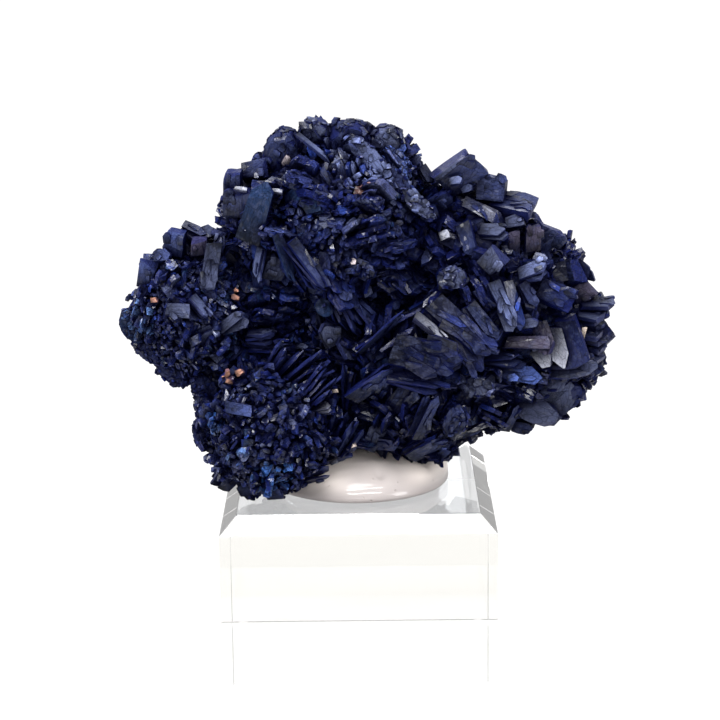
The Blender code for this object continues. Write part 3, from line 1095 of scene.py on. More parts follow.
LARGE_CRYSTALS = {
    # the peak and its foot
    "peak": Crystal((19.4, -4.2, 91.5), (38, 5, 15), (8.4, 5.7, 3.6), BLOCK, 1, SLATE),
    "peak_edge": Crystal((17.4, -4.8, 93.0), (38, 5, 15), (8.2, 0.8, 3.6), BLOCK, 1, GREY, 0.9),
    "peak_foot": Crystal((16.0, -4.0, 86.5), (40, 10, 20), (8.0, 5.5, 3.0), TABLET, 3),
    "peak_block": Crystal((25.2, -4.0, 88.6), (-4, 10, -15), (5.4, 5.0, 4.0), BLOCK, 1, SLATE, 0.1),
    "shelf": Crystal((29.1, -5.0, 85.5), (-2, 28, -68), (8.8, 6.0, 2.6), BLOCK, 1, SLATE, 0.5),
    "slope_blade": Crystal((24.0, -7.5, 84.4), (-25, 15, -25), (9.5, 3.5, 1.8), LEAF, 2, NAVY),
    "facet_high": Crystal(
        (18.6, -7.0, 90.5), (18, 10, -30), (2.4, 1.6, 1.0), TABLET, 1, HAZE, 0.6, bare=True
    ),
    "facet_low": Crystal((20.7, -5.5, 88.8), (31, 10, -20), (2.2, 1.4, 1.0), TABLET, 1, HAZE, 0.6, bare=True),
    "speck": Crystal((20.5, -6.0, 86.1), (14, 10, -30), (1.8, 1.8, 1.2), BLOCK, 1, PAINTED_GLINT, 0.9),
    "grey_plate": Crystal((25.3, -11.3, 82.2), (7, 20, -35), (5.4, 3.2, 1.6), TABLET, 2, GREY),
    "grey_plate_end": Crystal((29.2, -8.0, 82.9), (19, 15, -35), (3.8, 2.4, 1.6), BLOCK, 1, GREY, 0.6),
    "brown_rib_left": Crystal((29.1, -8.0, 79.2), (90, 10, 5), (4.8, 2.3, 2.2), BLOCK, 1, BROWN, 0.1),
    "brown_rib_right": Crystal((32.5, -8.5, 80.0), (88, 10, 15), (4.8, 3.0, 2.2), BLOCK, 1, BROWN, 0.1),
    "corner_block": Crystal((34.5, -5.0, 78.8), (50, 15, 25), (6.5, 5.0, 3.0), BLOCK, 1),
    "pillar": Crystal((20.5, -11.5, 79.0), (-80, 20, 25), (9.0, 3.6, 2.2), LEAF, 2, SLATE, 0.05, bare=True),
    "facet_mid": Crystal((16.4, -10.3, 81.0), (26, 20, -30), (2.0, 1.8, 1.0), BLOCK, 1, PAINTED_GLINT, 0.8),
    # the right lobe
    "step_block": Crystal((25.0, -15.2, 77.3), (51, 20, -10), (4.8, 4.2, 2.4), BLOCK, 1, GREY),
    "bright_stack": Crystal((32.9, -14.6, 75.2), (14, 15, -45), (6.6, 3.2, 2.2), TABLET, 3, HAZE, 0.3),
    "bright_stack_top": Crystal((33.7, -13.9, 76.9), (-20, 15, -45), (3.2, 2.0, 1.0), TABLET, 2, HAZE, 0.4),
    "half_moon": Crystal((17.6, -15.4, 74.1), (-10, 25, -5), (5.4, 3.6, 1.6), SCALE, 1, GREY, 0.1, 1.2),
    "navy_plate": Crystal((36.5, -12.9, 70.1), (-18, 15, -20), (7.2, 4.4, 2.0), BLOCK, 1, NAVY),
    "rib_left": Crystal((26.7, -17.2, 69.4), (-61, 10, -20), (9.5, 3.0, 1.6), LEAF, 2, HAZE),
    "rib_middle": Crystal((28.6, -16.8, 69.2), (-72, 10, -30), (9.5, 2.2, 1.2), LEAF, 1, BLUE),
    "rib_right": Crystal((31.3, -15.6, 70.1), (-65, 10, -20), (6.6, 2.4, 1.6), LEAF, 2, SLATE),
    "rib_foot": Crystal((27.7, -17.8, 66.7), (-57, 10, 10), (4.6, 3.0, 1.6), TABLET, 2, GREY),
    "rib_foot_right": Crystal((31.4, -16.5, 66.3), (12, 10, -15), (3.8, 3.0, 1.4), TABLET, 2, GREY),
    "edge_tooth_high": Crystal((42.6, -4.0, 72.6), (-50, 10, 10), (5.6, 3.4, 2.6), TABLET, 2),
    "edge_tooth_low": Crystal((41.6, -5.0, 69.3), (33, 10, 10), (5.2, 4.0, 2.6), BLOCK, 1, BROWN),
    "rim_ribs": Crystal((44.0, -4.5, 60.4), (-12, 12, -74), (7.0, 7.0, 13.0), TABLET, 11, GREY, 0.5),
    "long_blade": Crystal((18.6, -17.2, 63.8), (-48, 10, -8), (16.0, 4.8, 1.8), LEAF, 2, NAVY, 0.05),
    "second_blade": Crystal((23.3, -17.8, 65.1), (-55, 10, -10), (11.0, 3.4, 1.6), LEAF, 2, SLATE, 0.05),
    "needle_blade": Crystal((5.9, -17.1, 65.4), (40, 10, 60), (15.0, 2.6, 1.2), LEAF, 2),
    "needle_blade_low": Crystal((7.6, -17.8, 63.2), (37, 10, 60), (7.5, 2.2, 1.0), LEAF, 1),
    "thin_blade": Crystal((13.4, -18.0, 65.5), (-38, 10, -60), (7.5, 2.2, 1.0), LEAF, 1, PAINTED_GLINT, 0.3),
    "shield": Crystal((12.8, -20.0, 59.6), (-16, 8, 8), (14.2, 7.4, 2.0), TABLET, 2, INK, 0.05),
    "shield_foot": Crystal((10.6, -18.9, 55.4), (-14, 10, -45), (11.0, 3.4, 1.5), LEAF, 2, NAVY),
    "bar": Crystal((30.9, -15.3, 61.9), (2, 8, -20), (8.8, 2.4, 2.0), BLOCK, 1, BROWN, 0.2, bare=True),
    "bar_end": Crystal((34.2, -15.0, 62.7), (-75, 10, 5), (6.2, 3.4, 1.2), TABLET, 1, BROWN, 0.3),
    # The mirror plates are painted light grey as a painted reflection, over their real gloss.
    "mirror_plate": Crystal(
        (36.9, -13.3, 60.5), (-74, 8, 5), (8.0, 3.4, 1.2), TABLET, 1, PAINTED_GLINT, 1.0, bare=True
    ),
    "mirror_plate_low": Crystal(
        (34.2, -13.3, 58.7), (-50, 8, 5), (4.2, 3.0, 1.0), TABLET, 1, PAINTED_GLINT, 1.0, bare=True
    ),
    "mirror_slab": Crystal(
        (39.4, -12.6, 61.5), (-72, 8, 10), (9.6, 4.6, 1.6), BLOCK, 1, NAVY, 0.5, bare=True
    ),
    "ledge": Crystal((30.8, -12.4, 55.8), (-7, 8, -20), (9.4, 3.6, 1.6), TABLET, 2, AZURE, 0.2),
    "ledge_over": Crystal((27.5, -13.5, 58.4), (2, 8, -40), (8.5, 2.6, 1.4), TABLET, 3, SLATE),
    "disc": Crystal((39.6, -10.2, 54.8), (3, 8, -25), (10.4, 4.2, 1.6), SCALE, 2, GREY, 0.2),
    "disc_edge": Crystal((38.4, -10.4, 56.6), (5, 8, -70), (6.8, 2.4, 0.8), TABLET, 1, GREY, 0.6),
    # under the right lobe
    "fan_left": Crystal((33.2, -6.4, 47.0), (-24, 15, -15), (9.5, 5.4, 2.0), SCALE, 1, GREY, 0.2),
    "fan_right": Crystal((37.0, -5.6, 49.0), (78, 15, 8), (9.6, 8.0, 2.4), SCALE, 1, GREY, 0.2),
    "fan_wing": Crystal((38.6, -5.0, 48.8), (38, 10, 15), (8.4, 5.6, 2.2), SCALE, 1, NAVY, 0.2),
    "fan_low": Crystal((33.9, -4.2, 45.0), (-7, 12, 20), (10.0, 4.2, 2.4), TABLET, 2, GREY, 0.1, bare=True),
    "fan_toe": Crystal((31.3, -4.5, 43.4), (-5, 10, 10), (5.4, 3.0, 2.0), TABLET, 2, SLATE),
    "fan_root": Crystal((29.1, -6.4, 46.4), (66, 10, 35), (8.0, 2.8, 1.8), LEAF, 3),
    "grey_lump": Crystal((21.6, -16.2, 54.2), (-11, 12, -15), (6.8, 3.4, 1.8), SCALE, 1, GREY, 0.2, 1.2),
    "plunge_blade": Crystal((12.6, -18.9, 49.6), (68, 10, 20), (10.5, 3.2, 1.6), LEAF, 2),
    "lump": Crystal((17.8, -15.9, 47.6), (80, 15, 10), (6.5, 4.4, 2.6), SCALE, 1, SLATE, 0.1, 1.2),
    "slant_plate": Crystal((3.5, -17.0, 55.5), (40, 10, 35), (12.0, 4.4, 1.6), LEAF, 2, SLATE, 0.5),
    "low_plate": Crystal((3.9, -12.2, 44.0), (68, 10, 10), (7.2, 3.4, 1.6), TABLET, 2, GREY, 0.1),
    "low_wing": Crystal((2.8, -13.8, 48.1), (-19, 15, -30), (6.0, 2.6, 1.2), LEAF, 2),
    "low_blade": Crystal((13.0, -13.5, 42.6), (35, 10, 30), (9.5, 4.4, 2.0), LEAF, 3),
    "under_blade": Crystal((6.0, -12.0, 42.6), (-10, 10, 30), (8.5, 4.6, 2.0), LEAF, 3),
    "under_lump": Crystal((15.4, -9.5, 41.6), (10, 10, 30), (6.0, 4.2, 3.0), TABLET, 3),
    "under_plate": Crystal((20.3, -6.0, 43.6), (25, 10, 30), (8.6, 5.4, 2.5), LEAF, 3),
    "edge_blade": Crystal((25.5, -4.5, 45.0), (22, 10, 50), (9.0, 4.6, 2.5), LEAF, 3),
    # the crown
    "dome_left": Crystal((-13.2, -3.4, 96.0), (67, 20, -10), (9.0, 6.2, 4.0), SCALE, 1, SLATE, 0.1, 1.5),
    "dome_ridge": Crystal((-7.2, -7.4, 96.8), (-40, 10, -60), (8.5, 1.2, 0.7), LEAF, 1, HAZE, 0.3, bare=True),
    "dome_second": Crystal((-7.2, -1.6, 98.1), (65, 20, 0), (6.4, 6.4, 4.0), SCALE, 1, GREY, 0.1, 1.4),
    "dome_middle": Crystal((-0.8, -2.6, 96.8), (66, 22, 10), (8.8, 8.6, 5.0), SCALE, 1, SLATE, 0.0, 1.5),
    "dome_right": Crystal((6.2, -2.0, 95.4), (92, 15, 15), (9.6, 6.6, 5.0), SCALE, 1, GREY, 0.2, 1.4),
    "dome_flank": Crystal((7.8, -4.6, 93.6), (-62, 12, -35), (7.5, 4.0, 2.4), SCALE, 1, AZURE, 0.5, 0.9),
    "dome_step": Crystal((11.4, -1.5, 93.0), (35, 10, -25), (3.6, 2.6, 2.2), TABLET, 3, GREY, 0.8),
    "dome_foot": Crystal((13.4, -1.5, 90.4), (-55, 10, -25), (4.4, 2.6, 2.2), TABLET, 3, GREY, 0.8),
    "band_high": Crystal((2.4, -6.6, 95.0), (-44, 12, -20), (10.5, 3.6, 2.0), SCALE, 1, HAZE, 0.2, 1.3),
    "band_middle": Crystal((7.2, -7.4, 90.2), (-48, 12, -20), (9.5, 4.0, 2.0), SCALE, 1, SLATE, 0.2, 1.3),
    "band_low": Crystal((11.5, -10.6, 86.8), (-42, 12, -20), (8.0, 2.8, 1.8), SCALE, 1, GREY, 0.1, 1.2),
    "left_box": Crystal((-21.6, -6.0, 86.6), (86, 8, -8), (6.0, 5.0, 3.0), BLOCK, 1, SLATE, 0.4),
    "left_box_side": Crystal((-22.4, -4.6, 90.4), (88, 8, -10), (4.4, 3.2, 3.0), BLOCK, 1, SLATE, 0.2),
    "left_box_top": Crystal((-18.2, -3.0, 92.0), (14, 15, -30), (5.2, 3.4, 3.0), BLOCK, 1, SLATE),
    "teal_plate": Crystal(
        (-17.8, -12.6, 86.0), (71, 12, -4), (12.0, 4.6, 1.6), LEAF, 1, TEAL, 0.05, bare=True
    ),
    "flat_plate": Crystal((-7.4, -14.2, 88.2), (30, 25, -10), (4.6, 4.0, 1.4), TABLET, 2, TEAL, 0.2),
    "rim_plate": Crystal((-15.0, -12.0, 76.4), (70, 12, 0), (6.0, 4.6, 1.4), TABLET, 2, GREY, 0.1),
    "rim_edge": Crystal((-17.4, -13.0, 75.8), (-98, 8, 60), (7.5, 2.6, 1.2), LEAF, 2, HAZE, 0.2),
    "hanging_blade": Crystal((-8.7, -16.6, 77.0), (-52, 10, -45), (10.8, 3.0, 3.0), LEAF, 4, SLATE),
    "hanging_spear": Crystal((-13.0, -15.6, 78.0), (-78, 10, -20), (9.5, 3.4, 1.8), LEAF, 2, TEAL),
    # the left lobe
    "spear_plate": Crystal((-26.6, -9.2, 75.0), (-99, 8, 5), (10.0, 3.0, 1.4), LEAF, 1, GREY, 0.1),
    "spear_root": Crystal((-24.8, -7.0, 79.0), (65, 8, -40), (5.0, 2.4, 2.4), LEAF, 4, GREY, 0.5),
    "brown_block": Crystal((-29.0, -5.0, 78.3), (88, 8, 5), (3.8, 3.0, 2.0), BLOCK, 1, BROWN, 0.0),
    "left_ridge": Crystal((-33.4, -4.0, 79.0), (83, 10, -15), (4.8, 3.8, 2.6), BLOCK, 1, VIOLET, 0.2),
    "left_ridge_top": Crystal((-30.0, -2.5, 80.1), (-29, 10, -40), (5.4, 3.2, 3.0), TABLET, 4, SLATE, 0.4),
    "left_ridge_end": Crystal((-27.0, -2.5, 80.2), (20, 10, -30), (3.6, 2.8, 2.4), TABLET, 3, GREY, 0.6),
    "left_flank": Crystal((-38.6, -3.0, 73.0), (80, 10, -15), (6.0, 3.4, 2.6), BLOCK, 1, VIOLET, 0.1),
    "left_flank_top": Crystal((-35.2, -5.0, 76.6), (0, 12, -35), (3.8, 2.8, 2.0), TABLET, 2, VIOLET, 0.5),
    "stack_block": Crystal((-32.5, -14.2, 68.4), (-2, 10, -15), (4.8, 2.6, 2.0), BLOCK, 1, GREY, 0.3),
    "stack_pages": Crystal((-29.2, -12.4, 67.7), (-53, 10, -65), (5.6, 2.4, 3.4), LEAF, 5, HAZE, 0.3),
    "left_plates": Crystal((-22.5, -11.6, 65.8), (30, 12, -20), (6.4, 2.6, 1.2), LEAF, 2, GREY, 0.1),
    "left_pages": Crystal((-27.7, -11.6, 63.2), (53, 10, 20), (4.2, 2.8, 1.4), TABLET, 2, GREY, 0.2),
    "left_tip": Crystal((-42.0, -3.5, 63.2), (-70, 8, 0), (7.0, 3.8, 3.6), SCALE, 1, TEAL, 0.2, 0.9),
    "left_under": Crystal((-38.9, -3.5, 58.7), (-42, 8, 0), (7.6, 3.8, 3.6), SCALE, 1, NAVY, 0.2, 0.9),
    "left_under_low": Crystal((-34.6, -4.0, 54.7), (-40, 8, 0), (8.0, 4.2, 3.6), SCALE, 1, NAVY, 0.2, 0.9),
    "notch_web": Crystal((-28.9, -5.5, 51.6), (-52, 8, 0), (7.0, 4.6, 4.0), SCALE, 1, NAVY, 0.2, 0.9),
    "notch_fill": Crystal((-26.4, -4.8, 53.2), (-50, 8, 0), (5.6, 4.4, 4.0), SCALE, 1, NAVY, 0.2, 0.9),
    "notch_edge": Crystal((-29.0, -12.5, 44.4), (-80, 8, 0), (5.0, 3.0, 3.0), SCALE, 1, NAVY, 0.2, 0.9),
    "notch_foot": Crystal((-28.8, -8.5, 48.6), (-75, 8, 0), (5.0, 3.4, 3.4), SCALE, 1, NAVY, 0.2, 0.9),
    "notch_block": Crystal((-28.0, -4.0, 50.5), (20, 10, 30), (5.5, 4.0, 3.0), TABLET, 4),
    "lying_stack": Crystal((-17.5, -9.0, 61.4), (2, 10, -75), (5.8, 3.0, 3.8), TABLET, 5, GREY, 0.2),
    # the middle
    "flat_grey": Crystal((-5.0, -11.0, 63.0), (104, 10, 10), (5.6, 3.8, 1.2), TABLET, 2, GREY, 0.1),
    "falling_pages": Crystal((-1.4, -11.5, 66.8), (-61, 8, -60), (11.5, 3.2, 4.2), LEAF, 6, SLATE, 0.3),
    "blue_lump": Crystal((-5.8, -13.9, 68.7), (-46, 12, 0), (3.8, 3.4, 1.6), SCALE, 1, TEAL, 0.3),
    "upright_blade": Crystal((-1.8, -12.3, 54.1), (89, 5, 68), (10.2, 3.0, 1.2), LEAF, 2, SLATE, 0.3),
    "fan_pages": Crystal((-7.2, -17.4, 54.6), (48, 10, 70), (8.2, 3.0, 3.8), LEAF, 6, SLATE, 0.3),
    "fan_pages_high": Crystal((-13.9, -13.5, 58.8), (56, 10, 68), (7.2, 3.0, 3.0), LEAF, 4, SLATE, 0.3),
    "fan_pages_long": Crystal((-10.2, -14.5, 55.6), (36, 10, 70), (11.5, 3.2, 5.0), LEAF, 7, SLATE, 0.3),
    "fan_pages_low": Crystal((-2.8, -15.2, 45.4), (66, 10, 62), (8.8, 3.6, 4.8), LEAF, 7, SLATE, 0.2),
    "light_pages": Crystal((-5.9, -17.2, 50.5), (12, 10, -55), (4.8, 2.4, 1.8), LEAF, 4, PAINTED_GLINT, 0.2),
    # the foot on the left
    "low_corner": Crystal((-24.5, -12.0, 36.5), (60, 10, 20), (5.5, 4.4, 3.0), TABLET, 4),
    "low_toe": Crystal((-20.0, -15.5, 36.1), (20, 10, 20), (5.0, 4.0, 3.0), TABLET, 4),
    "low_foot": Crystal((-14.5, -18.0, 35.4), (10, 15, 25), (5.5, 4.2, 2.5), TABLET, 3),
    "low_heel": Crystal((-8.0, -17.0, 38.8), (30, 15, 55), (6.5, 3.4, 3.0), LEAF, 5),
    "low_web": Crystal((-3.5, -13.5, 42.0), (30, 10, 50), (8.0, 4.0, 3.5), LEAF, 6),
    # small crystals of another colour
    "warm_sliver": Crystal((41.7, -10.4, 62.2), (78, 10, 0), (3.2, 0.9, 0.8), BLOCK, 1, Tint.CREAM, 0.9),
    "violet_crystal": Crystal((-21.4, -22.0, 51.8), (-8, 10, -20), (5.2, 2.2, 1.6), BLOCK, 1, VIOLET, 0.2),
    "white_chip": Crystal((-4.0, -15.6, 53.3), (10, 10, -20), (1.2, 0.7, 0.7), BLOCK, 1, Tint.CREAM, 1.0),
    "web_chip": Crystal((-0.9, -16.0, 43.0), (27, 10, -20), (1.2, 0.8, 0.7), BLOCK, 1, Tint.CREAM, 1.0),
    "heel_chip": Crystal((-4.4, -15.4, 39.6), (27, 10, -20), (1.7, 0.7, 0.7), BLOCK, 1, PAINTED_GLINT, 1.0),
    "box_chip": Crystal((-20.9, -8.2, 89.6), (-3, 10, -55), (2.6, 0.9, 0.6), BLOCK, 1, PAINTED_GLINT, 0.9),
    "crown_chip": Crystal((-14.1, -12.6, 89.9), (-2, 10, -50), (2.2, 0.8, 0.7), BLOCK, 1, PAINTED_GLINT, 1.0),
    "rust_left": Crystal(
        (-23.6, -16.4, 57.0), (75, 10, 10), (1.7, 0.9, 0.8), GRAIN, 1, Tint.RUST, 0.0, bare=True
    ),
    "rust_right": Crystal(
        (-21.3, -16.8, 57.3), (30, 10, -20), (1.5, 1.2, 0.8), GRAIN, 1, Tint.RUST, 0.0, bare=True
    ),
    "rust_notch": Crystal(
        (-22.2, -9.2, 69.6), (-28, 10, -10), (1.7, 1.0, 0.8), GRAIN, 1, Tint.RUST, 0.2, bare=True
    ),
    "rust_tip": Crystal((-37.2, -8.8, 69.2), (5, 10, -20), (1.6, 0.9, 0.8), BLOCK, 1, Tint.RUST, 0.0),
}


def unit(vector: np.ndarray) -> np.ndarray:
    """The vector at length 1."""
    return vector / np.linalg.norm(vector)


def even_directions(count: int) -> Iterator[np.ndarray]:
    """Unit vectors spread evenly over a ball, along a spiral from pole to pole.

    Args:
        count: how many there are.

    Returns:
        Them, one after the other.
    """
    golden = math.pi * (3 - math.sqrt(5))
    for i in range(count):
        height = 1 - 2 * (i + 0.5) / count
        around = math.sqrt(1 - height * height)
        yield np.array((around * math.cos(i * golden), around * math.sin(i * golden), height))


# ---------------------------------------------------------------- beds of crystals


@dataclass
class Ground:
    """The rough body that the crystals are rooted in, with its points and their normals in millimetres."""

    grain: float = 0.8
    smoothing: int = 14
    share: float = 0.95
    depth: float = 0.9
    cloud: float = 2.0
    colour: Triple = (0.003, 0.004, 0.02)

    def model(self) -> bpy.types.Object:
        """Joins the lobes in one body whose valleys are rounded.

        Returns:
            The body.
        """
        balls = [
            added(
                bpy.ops.mesh.primitive_ico_sphere_add,
                subdivisions=4,
                radius=self.share * MM,
                location=Vector(lobe.middle) * MM,
                scale=lobe.radii,
            )
            for lobe in LOBES.values()
        ]
        take_up(balls[0])
        for ball in balls:
            ball.select_set(True)
        bpy.ops.object.join()
        body = bpy.context.object
        body.name = "azurite_core"
        settle(body)
        remesh = body.modifiers.new("join", "REMESH")
        remesh.mode = "VOXEL"
        remesh.voxel_size = self.grain * MM
        smooth = body.modifiers.new("round_valleys", "SMOOTH")
        smooth.iterations = self.smoothing
        smooth.factor = 0.8
        apply_modifiers(body)
        self._survey(body.data)
        return body

    def _survey(self, mesh: bpy.types.Mesh) -> None:
        """Keeps the body's points and normals, and which lobe each point belongs to.

        Args:
            mesh: the body's mesh.
        """
        count = len(mesh.vertices)
        points, normals = np.empty(count * 3), np.empty(count * 3)
        mesh.vertices.foreach_get("co", points)
        mesh.vertices.foreach_get("normal", normals)
        self.points = points.reshape(-1, 3) / MM
        self.normals = normals.reshape(-1, 3)
        self.owners = np.argmin([lobe.share(self.points) for lobe in LOBES.values()], axis=0)

    def roughen(self, body: bpy.types.Object) -> None:
        """Sinks and roughens the body, and gives it the attributes that the crystals have.

        Args:
            body: the body.
        """
        clouds = bpy.data.textures.new("druse", "CLOUDS")
        clouds.noise_scale = self.cloud * MM
        rough = body.modifiers.new("roughen", "DISPLACE")
        rough.texture = clouds
        rough.texture_coords = "LOCAL"
        rough.strength = self.depth * MM * 2
        rough.mid_level = 0.9
        apply_modifiers(body)
        mesh = body.data
        count = len(mesh.vertices)
        colours = np.tile(rgba(self.colour), (count, 1))
        fill_attribute(mesh, "crystal_colour", "FLOAT_COLOR", "POINT", colours)
        fill_attribute(mesh, "crystal_gloss", "FLOAT", "POINT", np.zeros(count))
        fill_attribute(mesh, "crystal_place", "FLOAT_VECTOR", "POINT", self.points)
        fill_attribute(mesh, "crystal_wear", "FLOAT", "POINT", np.ones(count))
        fill_attribute(mesh, "crystal_rim", "FLOAT", "FACE", np.full(len(mesh.polygons), 0.5))

    def sites(self, owner: int | None, spacing: float, rng: np.random.Generator) -> list[int]:
        """Picks scattered points, none nearer to another than the spacing.

        Args:
            owner: the lobe they belong to, by order, or None for all.
            spacing: the least distance, in millimetres.
            rng: the numbers that scatter them.

        Returns:
            The points' places in the survey.
        """
        choice = np.arange(len(self.points)) if owner is None else np.flatnonzero(self.owners == owner)
        taken: dict[tuple[int, int, int], list[int]] = {}
        picked = []
        for index in rng.permutation(choice):
            point = self.points[index]
            x, y, z = (int(value // spacing) for value in point)
            near = [
                other
                for i in (x - 1, x, x + 1)
                for j in (y - 1, y, y + 1)
                for k in (z - 1, z, z + 1)
                for other in taken.get((i, j, k), ())
            ]
            if near and np.min(np.linalg.norm(self.points[near] - point, axis=1)) < spacing:
                continue
            taken.setdefault((x, y, z), []).append(index)
            picked.append(index)
        return picked


def fill_attribute(mesh: bpy.types.Mesh, name: str, kind: str, domain: str, values: np.ndarray) -> None:
    """Writes one attribute of a mesh.

    Args:
        mesh: the mesh.
        name: the attribute's name.
        kind: its data type.
        domain: POINT or FACE.
        values: one row for each point or face.
    """
    key = {"FLOAT_COLOR": "color", "FLOAT_VECTOR": "vector", "FLOAT": "value"}[kind]
    mesh.attributes.new(name, kind, domain).data.foreach_set(key, values.astype(np.float32).ravel())


def turned(vector: np.ndarray, axis: np.ndarray, angle: float) -> np.ndarray:
    """A vector turned about an axis that stands square to it."""
    return math.cos(angle) * vector + math.sin(angle) * np.cross(axis, vector)


class ClearFaces:
    """The large crystals' front faces, in front of which no small crystal grows."""

    def __init__(self, crystals: Iterable["Crystal"], share: float = 0.43, depth: float = 4.0) -> None:
        """Keeps the faces' frames.

        Args:
            crystals: the large crystals.
            share: how much of the face is clear, as a share of its length and width.
            depth: how far out it is clear, in millimetres.
        """
        self.share, self.depth = share, depth
        crystals = list(crystals)
        self.middles = np.array([crystal.middle for crystal in crystals])
        self.sizes = np.array([crystal.size for crystal in crystals])
        axes = [crystal.axes() for crystal in crystals]
        self.frames = np.array([(along, np.cross(flat, along), flat) for along, flat in axes])

    def hidden_by(self, point: np.ndarray) -> bool:
        """Says whether a crystal at a point would hide one of the faces.

        Args:
            point: the crystal's middle, in millimetres.

        Returns:
            True where it would.
        """
        local = np.einsum("nij,nj->ni", self.frames, point - self.middles)
        inside = np.hypot(local[:, 0] / self.sizes[:, 0], local[:, 1] / self.sizes[:, 1]) < self.share
        height = local[:, 2] - self.sizes[:, 2] * 0.2
        return bool(np.any(inside & (height > 0) & (height < self.depth)))


@dataclass
class Skin:
    """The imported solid's surface, beyond which small crystals may stand out only a little."""

    solid: bpy.types.Object
    faces: ClearFaces

    def __post_init__(self) -> None:
        """Reads the solid."""
        self.tree = BVHTree.FromObject(self.solid, bpy.context.evaluated_depsgraph_get())

    def excess(self, points: np.ndarray, reach: float) -> np.ndarray:
        """How a crystal must move so that it stands out no further than a reach.

        Args:
            points: the crystal's corners, in millimetres.
            reach: how far it may stand out, in millimetres.

        Returns:
            The move, in millimetres.
        """
        worst, move = reach, np.zeros(3)
        for point in points:
            near, normal, _, distance = self.tree.find_nearest(Vector(point) * MM)
            distance /= MM
            if distance > worst and (Vector(point) * MM - near).dot(normal) > 0:
                worst, move = distance, (np.array(near) / MM - point) * (1 - reach / distance)
        return move


